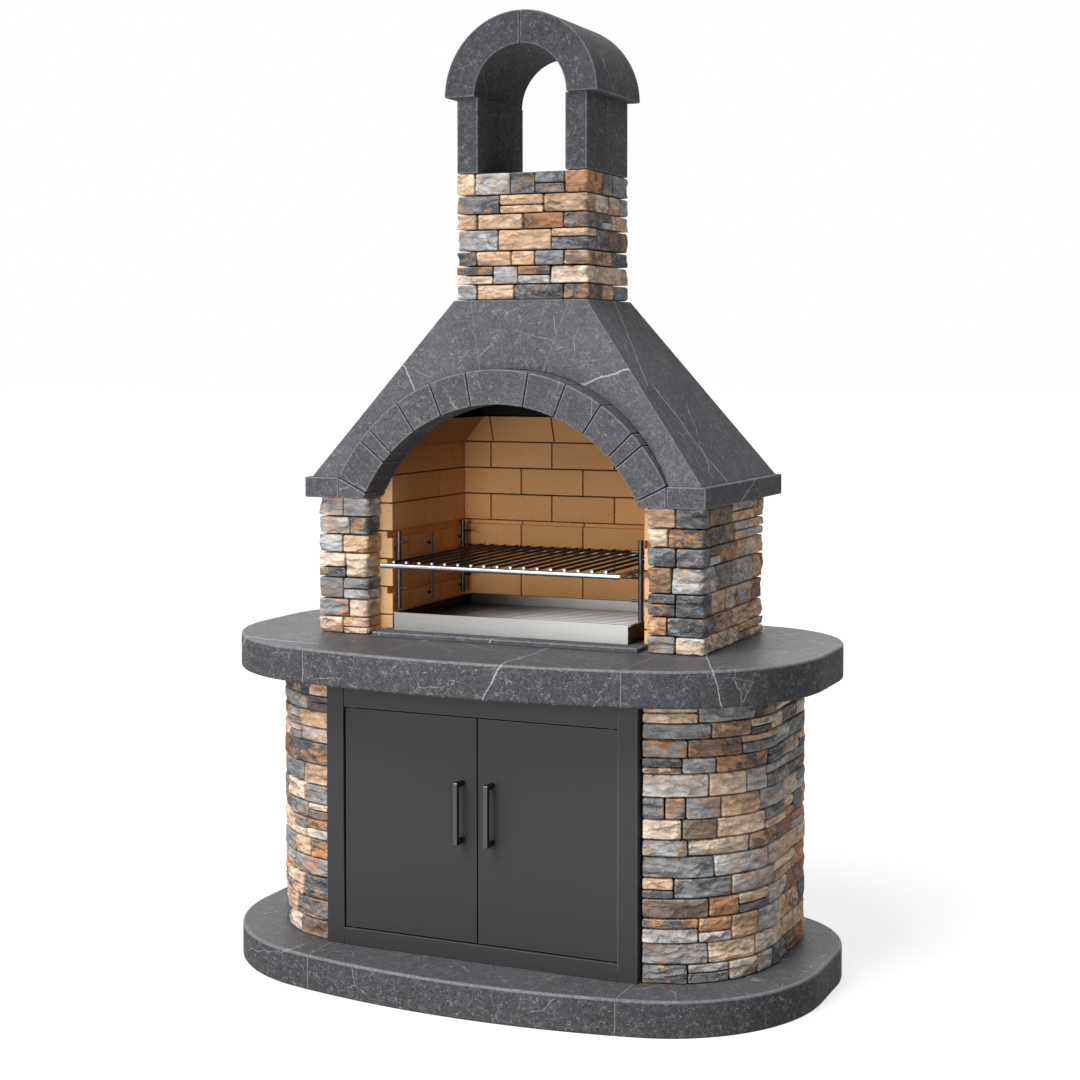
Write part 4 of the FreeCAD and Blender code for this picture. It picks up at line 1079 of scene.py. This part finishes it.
cabinet_middle = Vector((0.0, 0.0, 0.4))
wall_nodes = ["left_base_wall", "right_base_wall", "rear_base_wall", "left_pillar_core", "right_pillar_core"]
for node in wall_nodes:
    wall = merged_copy(node + "_laid", node)
    wall.data.materials.append(bedding)
    wall.data.materials.append(blocks)
    for face in wall.data.polygons:
        inside = (cabinet_middle - face.center).dot(face.normal) > 0
        bare = face.normal.y > square_on if node.endswith("core") else inside
        face.material_index = 1 if bare else 0
    smoothed(wall, angle=30)
    settled(wall, node)


# Metalwork

door_arris, handle_arris, frame_arris, tray_arris = 0.0026, 0.0024, 0.0008, 0.0005
# height of the painted highlight at the top front of the handles
top_highlight_height = 0.004
# the doors and frame take the paler arris coat: painted highlight
for side in ("left", "right"):
    plain_piece(
        side + "_door_panel", door_coat, door_arris,
        segments=3, arris=arris_highlight_coat, shortest=beyond_holes,
    )
for side in ("left", "right"):
    door_handle(side + "_door_handle")
plain_piece("door_frame", frame_coat, frame_arris, arris=arris_highlight_coat, shortest=beyond_holes)
tray = plain_piece("charcoal_tray", brushed, tray_arris)
tray.data.materials.append(painted_shade_sheet)
tray.data.materials.append(smoke_and_shade_steel)
low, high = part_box("charcoal_tray")
middle = (low + high) / 2
tray_floor = low.z + 0.01
for face in tray.data.polygons:
    inward = (middle - face.center).xy.dot(face.normal.xy) > 0.02
    # inner walls and floor take the sheet with painted shade towards the left
    if inward or (face.normal.z > square_on and face.center.z < tray_floor):
        face.material_index = 1
    # outer ends dark: painted shade
    elif abs(face.normal.x) > square_on:
        face.material_index = 2
# node: finish, slot, width of the eased arris
small_metal = {
    "fire_grate": (painted_shade_sheet, "black_iron", 0.0004),
    "grate_frame": (bright, "stainless", 0.0008),
    "grate_rods": (iron, "black_iron", 0.0006),
    "rack_posts_left": (smoke_and_shade_steel, "stainless", 0.0005),
    "rack_posts_right": (smoke_and_shade_steel, "stainless", 0.0005),
    "hinge_pins": (frame_coat, "zinc", 0.0003),
    "frame_anchors": (bright, "zinc", 0.0005),
    "door_catches": (frame_coat, "zinc", 0.0005),
}
for node, (finish, slot, width) in small_metal.items():
    plain_piece(node, finish, width)


# Floor, light and camera

white = (1.0, 1.0, 1.0, 1.0)


class Backdrop(Finish):
    """The white all round, made of the same nodes as a finish."""

    def __init__(self, name):
        self.material = bpy.data.worlds.new(name)
        self.material.use_nodes = True
        self.tree = self.material.node_tree
        self.shader = self.tree.nodes["Background"]


def backdrop():
    """White to the eye and in reflections, but giving only a little light."""
    f = Backdrop("studio")
    given = 0.08
    return f.set(Color=white, Strength=given + (1 - given) * f.seen())


def floor_finish():
    """Pale studio floor that keeps the shadow and runs out into the white behind."""
    f = Finish("studio_floor")
    f.set(Base_Color=(0.42, 0.42, 0.42, 1.0), Roughness=0.9, Specular_IOR_Level=0.0)
    return f.set(Emission_Color=f.shade(white, f.seen()), Emission_Strength=0.72)


clear_pick()
bpy.ops.mesh.primitive_plane_add(size=160, location=(0, 0, 0))
floor = bpy.context.object
floor.name = "studio_floor"
floor.data.materials.append(floor_finish())

bpy.context.scene.world = backdrop()

# name: strength, width of the light in degrees, turn in degrees
sky_lamps = {
    "window_light": (2.6, 32, (37, 0, -26)),
    "top_light": (0.26, 60, (8, 0, 0)),
    "side_light": (0.35, 60, (0, 46, 0)),
    "rear_light": (0.75, 60, (-60, 0, 14)),
}
for name, (energy, spread, turn) in sky_lamps.items():
    sun = bpy.data.lights.new(name, "SUN")
    sun.energy = energy
    sun.angle = math.radians(spread)
    lamp = bpy.data.objects.new(name, sun)
    lamp.rotation_euler = [math.radians(angle) for angle in turn]
    bpy.context.scene.collection.objects.link(lamp)

fill = bpy.data.lights.new("front_card", "AREA")
fill.size = 0.9
fill.energy = 24
card = bpy.data.objects.new("front_card", fill)
card.location = (-0.25, -2.3, 1.0)
card.rotation_euler = (math.radians(90), 0, math.radians(-6))
bpy.context.scene.collection.objects.link(card)

camera_data = bpy.data.cameras.new("photo_camera")
camera_data.sensor_width = 36
camera_data.lens = 64.54
camera_data.shift_y = -0.10
camera = bpy.data.objects.new("photo_camera", camera_data)
camera.location = (1.8492, -4.0918, 1.4181)
camera.rotation_euler = (math.radians(90 - 2.16), 0, math.radians(23.89))
bpy.context.scene.collection.objects.link(camera)
bpy.context.scene.camera = camera
bpy.context.scene.view_settings.view_transform = "Standard"

bpy.context.view_layer.update()
